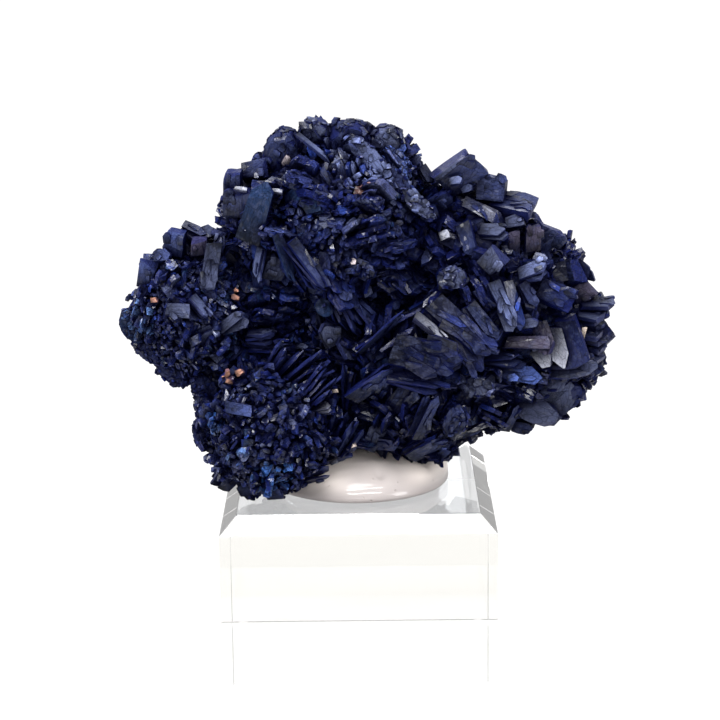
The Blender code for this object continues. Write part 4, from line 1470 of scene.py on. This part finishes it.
@dataclass
class CrystalBed:
    """Crystals joined in one mesh, with each one's colour, gloss and coordinates as attributes."""

    foundry: Foundry
    rng: np.random.Generator
    lowest: float
    skin: Skin | None = None
    reach: float = 0.8
    lightness: float = 1.0
    wear: float = 1.0
    casts: list[Cast] = field(default_factory=list)
    frames: list[np.ndarray] = field(default_factory=list)
    sizes: list[Triple] = field(default_factory=list)
    colours: list[np.ndarray] = field(default_factory=list)
    glosses: list[float] = field(default_factory=list)

    def crystal(
        self, middle: np.ndarray, along: np.ndarray, flat: np.ndarray, size: Triple, habit: Habit,
        tint: Tint, gloss: float, varied: bool = True,
    ) -> None:
        """Adds one crystal, unless it would reach down to the block.

        Args:
            middle: its middle, in millimetres.
            along: its long axis.
            flat: its flat face's normal.
            size: its length, width and thickness, in millimetres.
            habit: its shape.
            tint: its colour.
            gloss: how glassy it is, from 0 to 1.
            varied: whether its colour varies and follows the spots.
        """
        frame = np.array((along * size[0], np.cross(flat, along) * size[1], flat * size[2], middle))
        cast = self.foundry.pick(habit, self.rng)
        if self.skin:
            for _ in range(TRIES):
                move = self.skin.excess(cast.corners @ frame[:3] + middle, self.reach)
                middle = frame[3] = middle + move
            if self.skin.faces.hidden_by(middle) or np.linalg.norm(move) > STILL_OUT:
                return
        if middle[2] - np.abs(frame[:3, 2]).sum() / 2 < self.lowest:
            return
        self.casts.append(cast)
        self.frames.append(frame * MM)
        self.sizes.append(size)
        self.colours.append(np.array(self.shade(middle, tint) if varied else tint.value))
        self.glosses.append(min(1.0, max(0.0, gloss)))

    def shade(self, middle: np.ndarray, tint: Tint) -> Triple:
        """Works out a crystal's own colour, from its tint and the spots that it lies in.

        Args:
            middle: its middle, in millimetres.
            tint: its tint where no spot changes it.

        Returns:
            The colour, a little lighter or darker than the tint.
        """
        for spot in SPOTS:
            near = np.linalg.norm(middle - np.array(spot.middle)) < spot.radius
            if near and self.rng.random() < spot.share:
                tint = spot.tint
        # The lobe's lightness is in this: below 1 it is painted shade in the fill between the large crystals.
        lightness = self.lightness * math.exp(self.rng.normal(0.0, 0.5))
        return tuple(channel * lightness for channel in tint.value)

    def book(
        self, root: np.ndarray, along: np.ndarray, flat: np.ndarray, size: Triple, leaves: int,
        leaf: float, habit: Habit, tint: Tint, gloss: float, spread: float = 3.0, shards: bool = True,
        crust: float = 0.0, varied: bool = True,
    ) -> None:
        """Adds a book of plates that share a root.

        Args:
            root: where the book stands, in millimetres.
            along: the way it grows.
            flat: its pages' normal.
            size: the book's length, width and thickness.
            leaves: how many pages it has.
            leaf: a page's thickness.
            habit: its pages' shape.
            tint: their colour.
            gloss: how glassy they are.
            spread: the angle between pages, in degrees.
            shards: whether broken flakes lie on the pages.
            crust: the size of the small crystals that cover the pages, or 0 where they are bare.
            varied: whether their colour varies and follows the spots.
        """
        across = np.cross(flat, along)
        pitch = size[2] / leaves
        for i in range(leaves):
            place = i - (leaves - 1) / 2
            fanned = math.radians(self.rng.normal(place * spread, spread * 0.7)) if leaves > 1 else 0.0
            page_along = math.cos(fanned) * along + math.sin(fanned) * flat
            page_flat = math.cos(fanned) * flat - math.sin(fanned) * along
            if leaves > 1:
                page_along = turned(page_along, page_flat, self.rng.normal(0, 0.09))
            length = size[0] * (self.rng.uniform(0.7, 1.0) if leaves > 1 else 1.0)
            width = size[1] * (self.rng.uniform(0.55, 1.0) if leaves > 1 else 1.0)
            shift = across * size[1] * self.rng.normal(0, 0.1) * (leaves > 1)
            middle = root + flat * pitch * place + page_along * length / 2 + shift
            thickness = leaf * (self.rng.uniform(0.8, 1.25) if leaves > 1 else 1.0)
            page_gloss = gloss + self.rng.uniform(-0.2, 0.2)
            size_here = (length, width, thickness)
            self.crystal(middle, page_along, page_flat, size_here, habit, tint, page_gloss, varied)
            if crust:
                self._crust(crust, tint)
            elif shards and length * width > SHARD_AREA:
                self._shards(middle, page_along, page_flat, size_here, tint, page_gloss)

    def _crust(self, grain: float, tint: Tint) -> None:
        """Covers the last crystal with small ones that lie on its faces.

        Args:
            grain: a small crystal's length, in millimetres.
            tint: the colour of most of them.
        """
        cast, frame = self.casts[-1], self.frames[-1] / MM
        corners = cast.corners @ frame[:3] + frame[3]
        starts = np.concatenate(([0], np.cumsum(cast.totals)[:-1]))
        for start, total in zip(starts, cast.totals):
            face = corners[cast.loops[start:start + total]]
            normal = np.cross(face, np.roll(face, -1, axis=0)).sum(0) / 2
            for _ in range(self.rng.poisson(np.linalg.norm(normal) / grain**2 * COVERAGE)):
                place = self.rng.dirichlet(np.full(total, 0.7)) @ face
                way = unit(np.cross(normal, self.rng.normal(size=3)))
                flat = turned(unit(normal), way, self.rng.normal(0, 0.25))
                size = np.array((grain, grain * 0.8, grain * 0.35)) * self.rng.uniform(0.6, 1.6, 3)
                habit = (Habit.TABLET, Habit.BLOCK, Habit.GRAIN)[self.rng.integers(3)]
                self.crystal(place, way, flat, tuple(size), habit, tint, self.rng.uniform(-0.6, 1.0))

    def _shards(
        self, middle: np.ndarray, along: np.ndarray, flat: np.ndarray, size: Triple, tint: Tint, gloss: float
    ) -> None:
        """Broken flakes that lie on a plate's outer half, along it.

        Args:
            middle: the plate's middle, in millimetres.
            along: its long axis.
            flat: its flat face's normal.
            size: its length, width and thickness.
            tint: its colour.
            gloss: how glassy it is.
        """
        across = np.cross(flat, along)
        for _ in range(int(size[0] * size[1] / FLAKE_AREA)):
            place = middle + along * size[0] * self.rng.uniform(-0.15, 0.42)
            place = place + across * size[1] * self.rng.uniform(-0.42, 0.42) + flat * size[2] * 0.42
            way = unit(along + across * self.rng.normal(0, 0.25))
            face = unit(flat + self.rng.normal(0, 0.1, 3))
            face = unit(face - (face @ way) * way)
            flake = np.array((size[0] * FLAKE_SHARE, size[1] * FLAKE_SHARE, 0.55))
            flake = flake * self.rng.uniform(0.6, 1.4, 3)
            habit = (Habit.TABLET, Habit.BLADE, Habit.GRAIN)[self.rng.integers(3)]
            self.crystal(place, way, face, tuple(flake), habit, tint, gloss + self.rng.uniform(-0.2, 0.5))

    def mesh(self, name: str) -> bpy.types.Object:
        """Joins the crystals in one mesh object.

        Args:
            name: the piece's name.

        Returns:
            The object, at the origin.
        """
        cells = math.ceil(math.sqrt(len(self.casts)))
        corners, loops, totals, own, gloss, uv = [], [], [], [], [], []
        first = 0
        for i, (cast, frame) in enumerate(zip(self.casts, self.frames)):
            corners.append(cast.corners @ frame[:3] + frame[3])
            loops.append(cast.loops + first)
            totals.append(cast.totals)
            own.append(cast.corners * self.sizes[i] + self.rng.uniform(0, 200, 3))
            gloss.append(self.glosses[i] * self.rng.choice((0.1, 0.5, 1.0), len(cast.totals)))
            uv.append((cast.places * 0.94 + 0.03 + (i % cells, i // cells)) / cells)
            first += len(cast.corners)
        mesh = bpy.data.meshes.new(name)
        self._fill(mesh, np.concatenate(corners), np.concatenate(loops), np.concatenate(totals))
        counts = [len(cast.corners) for cast in self.casts]
        colours = np.column_stack((np.array(self.colours), np.ones(len(counts))))
        # Each crystal is darkened from its tip towards its root, as painted shade where it sits down among
        # the others.
        tip = np.concatenate([cast.corners[:, 0] + 0.5 for cast in self.casts])
        painted_shade_factor = np.clip(0.1 + 1.3 * tip, 0.0, 1.0)[:, None]
        colours = np.repeat(colours, counts, axis=0) * painted_shade_factor
        fill_attribute(mesh, "crystal_colour", "FLOAT_COLOR", "POINT", colours)
        fill_attribute(mesh, "crystal_gloss", "FLOAT", "FACE", np.concatenate(gloss))
        fill_attribute(mesh, "crystal_place", "FLOAT_VECTOR", "POINT", np.concatenate(own))
        fill_attribute(mesh, "crystal_wear", "FLOAT", "POINT", np.full(first, self.wear))
        rims = np.concatenate([cast.rims for cast in self.casts])
        fill_attribute(mesh, "crystal_rim", "FLOAT", "FACE", rims)
        mesh.uv_layers.new(name="OFBake").data.foreach_set("uv", np.concatenate(uv).ravel())
        obj = bpy.data.objects.new(name, mesh)
        bpy.context.scene.collection.objects.link(obj)
        return obj

    @staticmethod
    def _fill(mesh: bpy.types.Mesh, corners: np.ndarray, loops: np.ndarray, totals: np.ndarray) -> None:
        """Writes a mesh's corners and faces.

        Args:
            mesh: the mesh.
            corners: the corners' places, in metres.
            loops: the faces' corners, one face after the other.
            totals: how many corners each face has.
        """
        mesh.vertices.add(len(corners))
        mesh.vertices.foreach_set("co", corners.ravel())
        mesh.loops.add(len(loops))
        mesh.loops.foreach_set("vertex_index", loops)
        mesh.polygons.add(len(totals))
        mesh.polygons.foreach_set("loop_start", np.concatenate(([0], np.cumsum(totals)[:-1])))
        mesh.update(calc_edges=True)
        mesh.shade_flat()


@dataclass
class AzuriteCluster:
    """The stone: a rough core and a bed of crystals on each lobe."""

    solid: bpy.types.Object
    finish: AzuriteFinish = AzuriteFinish()
    ground: Ground = field(default_factory=Ground)
    clearance: float = 0.3
    patch_spacing: float = 8.0
    pieces: list[bpy.types.Object] = field(default_factory=list)

    def build(self) -> list[bpy.types.Object]:
        """Models every piece of the stone and dresses it.

        Returns:
            The pieces.
        """
        material = self.finish.material()
        foundry = Foundry()
        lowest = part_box("acrylic_block")[1].z / MM + self.clearance
        skin = Skin(self.solid, ClearFaces(large for large in LARGE_CRYSTALS.values() if not large.crust))
        core = self.ground.model()
        self._patches(np.random.default_rng([LOBE_SEED, 7]))
        self.pieces.append(core)
        for index, name in enumerate(LOBES):
            self.pieces.append(self._lobe(foundry, lowest, skin, index, name))
        self.ground.roughen(core)
        self.pieces.append(self._large_crystals(foundry, lowest))
        for piece in self.pieces:
            piece.data.materials.append(material)
            hand_in(piece, CORE_NODE)
        return self.pieces

    def _lobe(
        self, foundry: Foundry, lowest: float, skin: Skin, index: int, name: str
    ) -> bpy.types.Object:
        """Grows all the crystals of one lobe.

        Args:
            foundry: gives the crystals' shapes.
            lowest: the height that no crystal reaches below, in millimetres.
            skin: the surface that they keep to.
            index: the lobe's place in the list.
            name: its name.

        Returns:
            The bed's object.
        """
        lobe = LOBES[name]
        rng = np.random.default_rng([LOBE_SEED, 100 + index])
        bed = CrystalBed(foundry, rng, lowest, skin, lobe.reach, lobe.lightness)
        self._tablets(bed, name, lobe, np.random.default_rng([LOBE_SEED, index]))
        for layer, growth in enumerate(lobe.growths):
            self._growth(bed, index, growth, np.random.default_rng([LOBE_SEED, index, layer]))
        return bed.mesh(f"azurite_{name}")

    @staticmethod
    def _large_crystals(foundry: Foundry, lowest: float) -> bpy.types.Object:
        """Sets the crystals that stand out.

        Args:
            foundry: gives the crystals' shapes.
            lowest: the height that no crystal reaches below, in millimetres.

        Returns:
            The bed's object.
        """
        bed = CrystalBed(foundry, np.random.default_rng(LOBE_SEED), lowest, wear=0.4)
        for large in LARGE_CRYSTALS.values():
            along, flat = large.axes()
            root = np.array(large.middle) - along * large.size[0] / 2
            leaf = large.size[2] / large.leaves * (1.0 if large.leaves == 1 else 0.85)
            shards = not (large.bare or large.habit is Habit.SCALE)
            bed.book(
                root, along, flat, large.size, large.leaves, leaf, large.habit, large.tint, large.gloss,
                shards=shards, crust=large.crust, varied=False,
            )
        return bed.mesh("azurite_large_crystals")

    def _patches(self, rng: np.random.Generator) -> None:
        """Scatters the patches in which crystals point and rise alike.

        Args:
            rng: the numbers that scatter them.
        """
        chosen = self.ground.sites(None, self.patch_spacing, rng)
        self.patch_points = self.ground.points[chosen]
        self.patch_pointing = rng.normal(size=(len(chosen), 3)) * 0.6
        self.patch_rise = rng.normal(0, 12, len(chosen))

    @staticmethod
    def _buried(name: str, spot: np.ndarray, depth: float) -> bool:
        """Whether a spot lies well inside another lobe."""
        return min(lobe.share(spot) for key, lobe in LOBES.items() if key != name) < depth

    def _tablets(self, bed: CrystalBed, name: str, lobe: Lobe, rng: np.random.Generator) -> None:
        """Grows the joined plates that stand where the solid has its small tablets.

        Args:
            bed: the bed that they join.
            name: the lobe's name.
            lobe: the lobe.
            rng: the numbers that place the tablets, in the order in which the solid draws them.
        """
        middle, radii = np.array(lobe.middle), np.array(lobe.radii)
        large = [crystal.middle for crystal in LARGE_CRYSTALS.values() if crystal.size[0] > LARGE]
        large = np.array(large)
        patch_middles = [unit(rng.normal(size=3)) for _ in range(PATCHES)]
        patch_turns = rng.uniform(0, math.pi, PATCHES)
        for direction in even_directions(lobe.tablets):
            direction = unit(direction + rng.normal(0, SPREAD, 3))
            turn = patch_turns[np.argmax([direction @ m for m in patch_middles])] + rng.normal(0, TURN_SPREAD)
            along = unit(direction + rng.normal(0, LEAN_SPREAD, 3))
            size = tuple(np.array(lobe.tablet_size) * rng.uniform(*SIZE_RANGE))
            spot = middle + direction * radii
            if self._buried(name, spot, BURIED) or np.linalg.norm(large - spot, axis=1).min() < CROWDED:
                continue
            side = unit(np.cross(along, TURN_FROM))
            flat = math.cos(turn) * side + math.sin(turn) * np.cross(along, side)
            root = spot - along * size[0] * ROOT
            tint, gloss = self._tint(bed.rng), max(0.0, bed.rng.uniform(-0.7, 1.0))
            if lobe.tablet_books:
                leaf = size[2] / 3 * 1.1
                bed.book(root, along, flat, size, 3, leaf, Habit.TABLET, tint, gloss, spread=2.0)
            self._chips(bed, root, along, flat, size, *lobe.chips, stray=0.5 if lobe.tablet_books else 1.0)

    def _chips(
        self, bed: CrystalBed, root: np.ndarray, along: np.ndarray, flat: np.ndarray, size: Triple,
        count: int, share: float, stray: float,
    ) -> None:
        """Smaller crystals that sit on the outer half of a tablet, or take its place.

        Args:
            bed: the bed that they join.
            root: the tablet's root.
            along: its long axis.
            flat: its flat face's normal.
            size: its length, width and thickness, in millimetres.
            count: how many there are.
            share: their size, as a share of the tablet's.
            stray: how freely they point.
        """
        across = np.cross(flat, along)
        for _ in range(count):
            far = bed.rng.uniform(0.5, 0.9)
            aside, out = bed.rng.uniform(-0.42, 0.42), bed.rng.choice((-0.5, 0.5))
            middle = root + along * size[0] * far + across * size[1] * aside + flat * size[2] * out
            lean = across * bed.rng.normal(0, stray) + flat * (out * bed.rng.uniform(0.2, 1.4))
            tip = unit(along * (1.25 - stray / 2) + lean + bed.rng.normal(0, stray - 0.45, 3))
            face = unit(np.cross(tip, across + along * bed.rng.normal(0, 0.4)))
            chip = np.array(size) * share * bed.rng.uniform(0.5, 1.4, 3)
            habit = MIXED[bed.rng.integers(len(MIXED))]
            bed.crystal(middle, tip, face, tuple(chip), habit, self._tint(bed.rng), bed.rng.uniform(0, 0.8))

    def _growth(self, bed: CrystalBed, owner: int, growth: Growth, rng: np.random.Generator) -> None:
        """Grows one layer of crystals over a lobe's ground.

        Args:
            bed: the bed that they join.
            owner: the lobe's place in the list.
            growth: the layer.
            rng: the numbers that scatter and shape them.
        """
        for site in self.ground.sites(owner, growth.spacing, rng):
            point, normal = self.ground.points[site], self.ground.normals[site]
            if point[2] < growth.above:
                continue
            patch = np.argmin(np.linalg.norm(self.patch_points - point, axis=1))
            pointing, mean_rise = self.patch_pointing[patch], growth.rise + self.patch_rise[patch]
            for flow in FLOWS:
                if np.linalg.norm(point - np.array(flow.middle)) < flow.radius:
                    pointing, mean_rise = unit(np.array(flow.pointing)), flow.rise + growth.rise - 45
            pointing = pointing + rng.normal(0, growth.wildness, 3)
            tip = unit(pointing - (pointing @ normal) * normal)
            rise = mean_rise + rng.normal(0, growth.rise_spread)
            rise = math.radians(min(85.0, max(6.0, rise)))
            along = math.cos(rise) * tip + math.sin(rise) * normal
            flat = math.cos(rise) * normal - math.sin(rise) * tip
            flat = turned(flat, along, rng.normal(1.25 if rng.random() < growth.on_edge else 0.0, 0.35))
            size = np.array(growth.size) * rng.uniform(0.7, 1.35, 3)
            lift = rng.uniform(*growth.lift)
            root = point + normal * lift - along * size[0] * GROWTH_ROOT
            leaves = int(rng.integers(growth.leaves[0], growth.leaves[1] + 1))
            habit = growth.habits[rng.integers(len(growth.habits))]
            book = (size[0], size[1], size[2] * leaves)
            leaf = size[2] * (0.75 if leaves > 1 else 1.0)
            gloss = max(0.0, rng.uniform(-0.7, 1.2))
            bed.book(root, along, flat, book, leaves, leaf, habit, self._tint(rng), gloss)

    @staticmethod
    def _tint(rng: np.random.Generator) -> Tint:
        """A crystal's colour where no spot changes it."""
        tints = (Tint.NAVY, Tint.SLATE, Tint.GREY, Tint.BLUE, Tint.TEAL)
        return tints[rng.choice(len(tints), p=(0.40, 0.32, 0.12, 0.10, 0.06))]


# ---------------------------------------------------------------- the block and the putty


@dataclass
class DisplayBlock:
    """The clear acrylic block, with its bevelled top and crisp polished edges, in millimetres."""

    finish: AcrylicFinish = AcrylicFinish()
    bevel: float = 3.1
    edge: float = 0.16

    def build(self) -> bpy.types.Object:
        """Models the block at its node's place and dresses it.

        Returns:
            The piece.
        """
        low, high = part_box("acrylic_block")
        size = high - low
        obj = added(bpy.ops.mesh.primitive_cube_add, size=1.0, location=(low + high) / 2, scale=size)
        obj.name = "display_block"
        settle(obj)
        with EditMode(obj) as edit:
            edit.pick("EDGE", lambda edge: all(vert.co.z > high.z - size.z / 2 for vert in edge.verts))
            bpy.ops.mesh.bevel(offset=self.bevel * MM, segments=1, affect="EDGES")
        rounding = obj.modifiers.new("polished_edges", "BEVEL")
        rounding.width = self.edge * MM
        rounding.segments = 2
        rounding.limit_method = "ANGLE"
        apply_modifiers(obj)
        obj.data.materials.append(self.finish.material())
        hand_in(obj, "acrylic_block")
        return obj


@dataclass
class PuttyPuck:
    """The squashed ball of putty, in millimetres: a spun profile whose rim is thumbed uneven."""

    finish: PuttyFinish = PuttyFinish()
    profile: tuple[tuple[float, float], ...] = (
        (0.0, 8.0), (6.0, 7.5), (10.5, 6.6), (13.4, 5.3), (15.4, 3.9), (16.7, 2.5), (17.4, 1.3), (17.3, 0.5),
        (16.6, 0.05),
    )
    steps: int = 64
    foot_height: float = 1.5
    unevenness: float = 0.00258
    dimple: Triple = (4.0, -13.3, 0.6)
    dimple_spread: float = 0.7
    lip: float = 1.5
    lip_around: tuple[float, float] = (0.15, 0.5)

    def build(self) -> bpy.types.Object:
        """Models the puck over the block and dresses it.

        Returns:
            The piece.
        """
        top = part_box("acrylic_block")[1].z
        obj = added(bpy.ops.mesh.primitive_plane_add, size=MM, location=(0.0, 0.0, top))
        obj.name = "mounting_putty"
        settle(obj)
        with EditMode(obj) as edit:
            edit.pick("VERT", lambda vert: True)
            bpy.ops.mesh.merge(type="CENTER")
            bpy.ops.transform.translate(value=(0.0, 0.0, self.profile[0][1] * MM))
            for start, end in zip(self.profile, self.profile[1:]):
                move = ((end[0] - start[0]) * MM, 0.0, (end[1] - start[1]) * MM)
                bpy.ops.mesh.extrude_region_move(TRANSFORM_OT_translate={"value": move})
            bpy.ops.mesh.extrude_region_move(
                TRANSFORM_OT_translate={"value": (-self.profile[-1][0] * MM, 0.0, 0.0)}
            )
            bpy.ops.mesh.select_all(action="SELECT")
            bpy.ops.mesh.spin(steps=self.steps, angle=math.tau, center=(0, 0, top), axis=(0, 0, 1))
            bpy.ops.mesh.select_all(action="SELECT")
            bpy.ops.mesh.remove_doubles(threshold=0.01 * MM)
            bpy.ops.mesh.normals_make_consistent(inside=False)
        smooth = obj.modifiers.new("soften", "SUBSURF")
        smooth.levels = smooth.render_levels = 2
        apply_modifiers(obj)
        self._press(obj.data, top)
        bpy.ops.object.shade_smooth()
        obj.data.materials.append(self.finish.material())
        hand_in(obj, "putty_puck")
        return obj

    def _press(self, mesh: bpy.types.Mesh, top: float) -> None:
        """Thumbs the rim out of round and leaves a lip and a dimple, with the foot kept flat.

        Args:
            mesh: the puck's mesh.
            top: the height of the block's top, in metres.
        """
        for vert in mesh.vertices:
            radius = math.hypot(vert.co.x, vert.co.y) / MM
            height = (vert.co.z - top) / MM
            around = math.atan2(vert.co.y, vert.co.x)
            wave = math.sin(2 * around + 0.7) + 0.6 * math.sin(3 * around - 1.1) + 0.3 * math.sin(7 * around)
            share = 1 + self.unevenness * wave * min(1.0, radius / 17)
            vert.co.x *= share
            vert.co.y *= share
            if height > self.foot_height:
                off_x, off_y = vert.co.x / MM - self.dimple[0], vert.co.y / MM - self.dimple[1]
                dimple = self.dimple[2] * math.exp(-(off_x**2 + off_y**2) / self.dimple_spread)
                lip = self.lip * math.exp(-(((around - self.lip_around[0]) / self.lip_around[1]) ** 2))
                vert.co.z += (lip * min(1.0, max(0.0, (radius - 14) / 3)) - dimple) * MM


# ---------------------------------------------------------------- the studio


@dataclass
class Studio:
    """A white table, soft light from all round and the camera, in millimetres."""

    distance: float = 430.6
    pitch: float = 14.0
    turn: float = 0.14
    roll: float = -0.66
    target: Triple = (0.58, 0.0, 55.2)
    lens: float = 113.57
    table: float = 1500.0
    table_gap: float = 0.05

    def build(self) -> None:
        """Sets the table, the lights, the surroundings and the camera."""
        self._table()
        self._world()
        self._light("overhead", (-60.0, -60.0, 620.0), (420.0, 320.0), 4.2)
        self._light("left_window", (-560.0, -320.0, 380.0), (260.0, 320.0), 4.6)
        self._light("right_window", (560.0, -380.0, 300.0), (220.0, 300.0), 2.4)
        self._light("front_fill", (0.0, -620.0, 230.0), (420.0, 160.0), 0.7)
        self._light("tube_high", (60.0, -250.0, 570.0), (380.0, 24.0), 0.9)
        self._light("tube_low", (60.0, -370.0, 470.0), (380.0, 40.0), 1.3)
        self._camera()
        bpy.context.scene.view_settings.view_transform = "Standard"

    def _table(self) -> None:
        """The white table top, just under the block."""
        table = added(
            bpy.ops.mesh.primitive_plane_add, size=self.table * MM, location=(0, 0, -self.table_gap * MM)
        )
        table.name = "table"
        settle(table)
        tree = Tree("table_white")
        material = tree.finish(
            {
                "Base Color": rgba((0.13, 0.13, 0.13)),
                "Roughness": 0.8,
                "Emission Color": rgba((1.0, 0.99, 0.99)),
                "Emission Strength": 0.82,
            }
        )
        table.data.materials.append(material)

    def _world(self) -> None:
        """Surroundings that are white behind and above, and dimmer on the camera's side."""
        world = bpy.data.worlds.new("white_room")
        bpy.context.scene.world = world
        world.use_nodes = True
        tree = Nodes(world.node_tree)
        direction = tree.node("ShaderNodeTexCoord").outputs["Generated"]
        depth = tree.node("ShaderNodeSeparateXYZ", None, {"Vector": direction}).outputs["Y"]
        span = {"From Min": -0.9, "From Max": 0.6, "To Min": 0.35, "To Max": 1.1}
        strength = tree.node("ShaderNodeMapRange", None, {"Value": depth, **span}).outputs["Result"]
        background = tree.nodes["Background"]
        tree.feed(background.inputs["Strength"], strength)
        tree.feed(background.inputs["Color"], rgba((1.0, 1.0, 1.0)))

    @staticmethod
    def _light(name: str, place: Triple, size: tuple[float, float], power: float) -> None:
        """One area light that faces the cluster.

        Args:
            name: the light's name.
            place: where it hangs, in millimetres.
            size: its width and height, in millimetres.
            power: its power in watts.
        """
        lamp = bpy.data.lights.new(name, "AREA")
        lamp.shape = "RECTANGLE"
        lamp.size, lamp.size_y = size[0] * MM, size[1] * MM
        lamp.energy = power
        obj = bpy.data.objects.new(name, lamp)
        bpy.context.scene.collection.objects.link(obj)
        obj.location = Vector(place) * MM
        obj.rotation_euler = (Vector((0, 0, 55)) * MM - obj.location).to_track_quat("-Z", "Y").to_euler()

    def _camera(self) -> None:
        """The camera, a little above the stone's middle."""
        pitch, turn = math.radians(self.pitch), math.radians(self.turn)
        back = Vector((math.sin(turn) * math.cos(pitch), -math.cos(turn) * math.cos(pitch), math.sin(pitch)))
        camera = bpy.data.cameras.new("camera")
        camera.lens = self.lens
        camera.sensor_width = 36.0
        obj = bpy.data.objects.new("camera", camera)
        bpy.context.scene.collection.objects.link(obj)
        obj.location = (Vector(self.target) + back * self.distance) * MM
        facing = (-back).to_track_quat("-Z", "Y").to_matrix().to_4x4()
        obj.matrix_world = Matrix.Translation(obj.location) @ facing @ Matrix.Rotation(
            math.radians(self.roll), 4, "Z"
        )
        bpy.context.scene.camera = obj


def main() -> None:
    """Builds every sub-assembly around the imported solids."""
    logging.basicConfig(level=logging.INFO, format="%(name)s: %(message)s")
    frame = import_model()
    DisplayBlock().build()
    PuttyPuck().build()
    AzuriteCluster(frame["nodes"][CORE_NODE]).build()
    Studio().build()


if __name__ == "__main__":
    main()
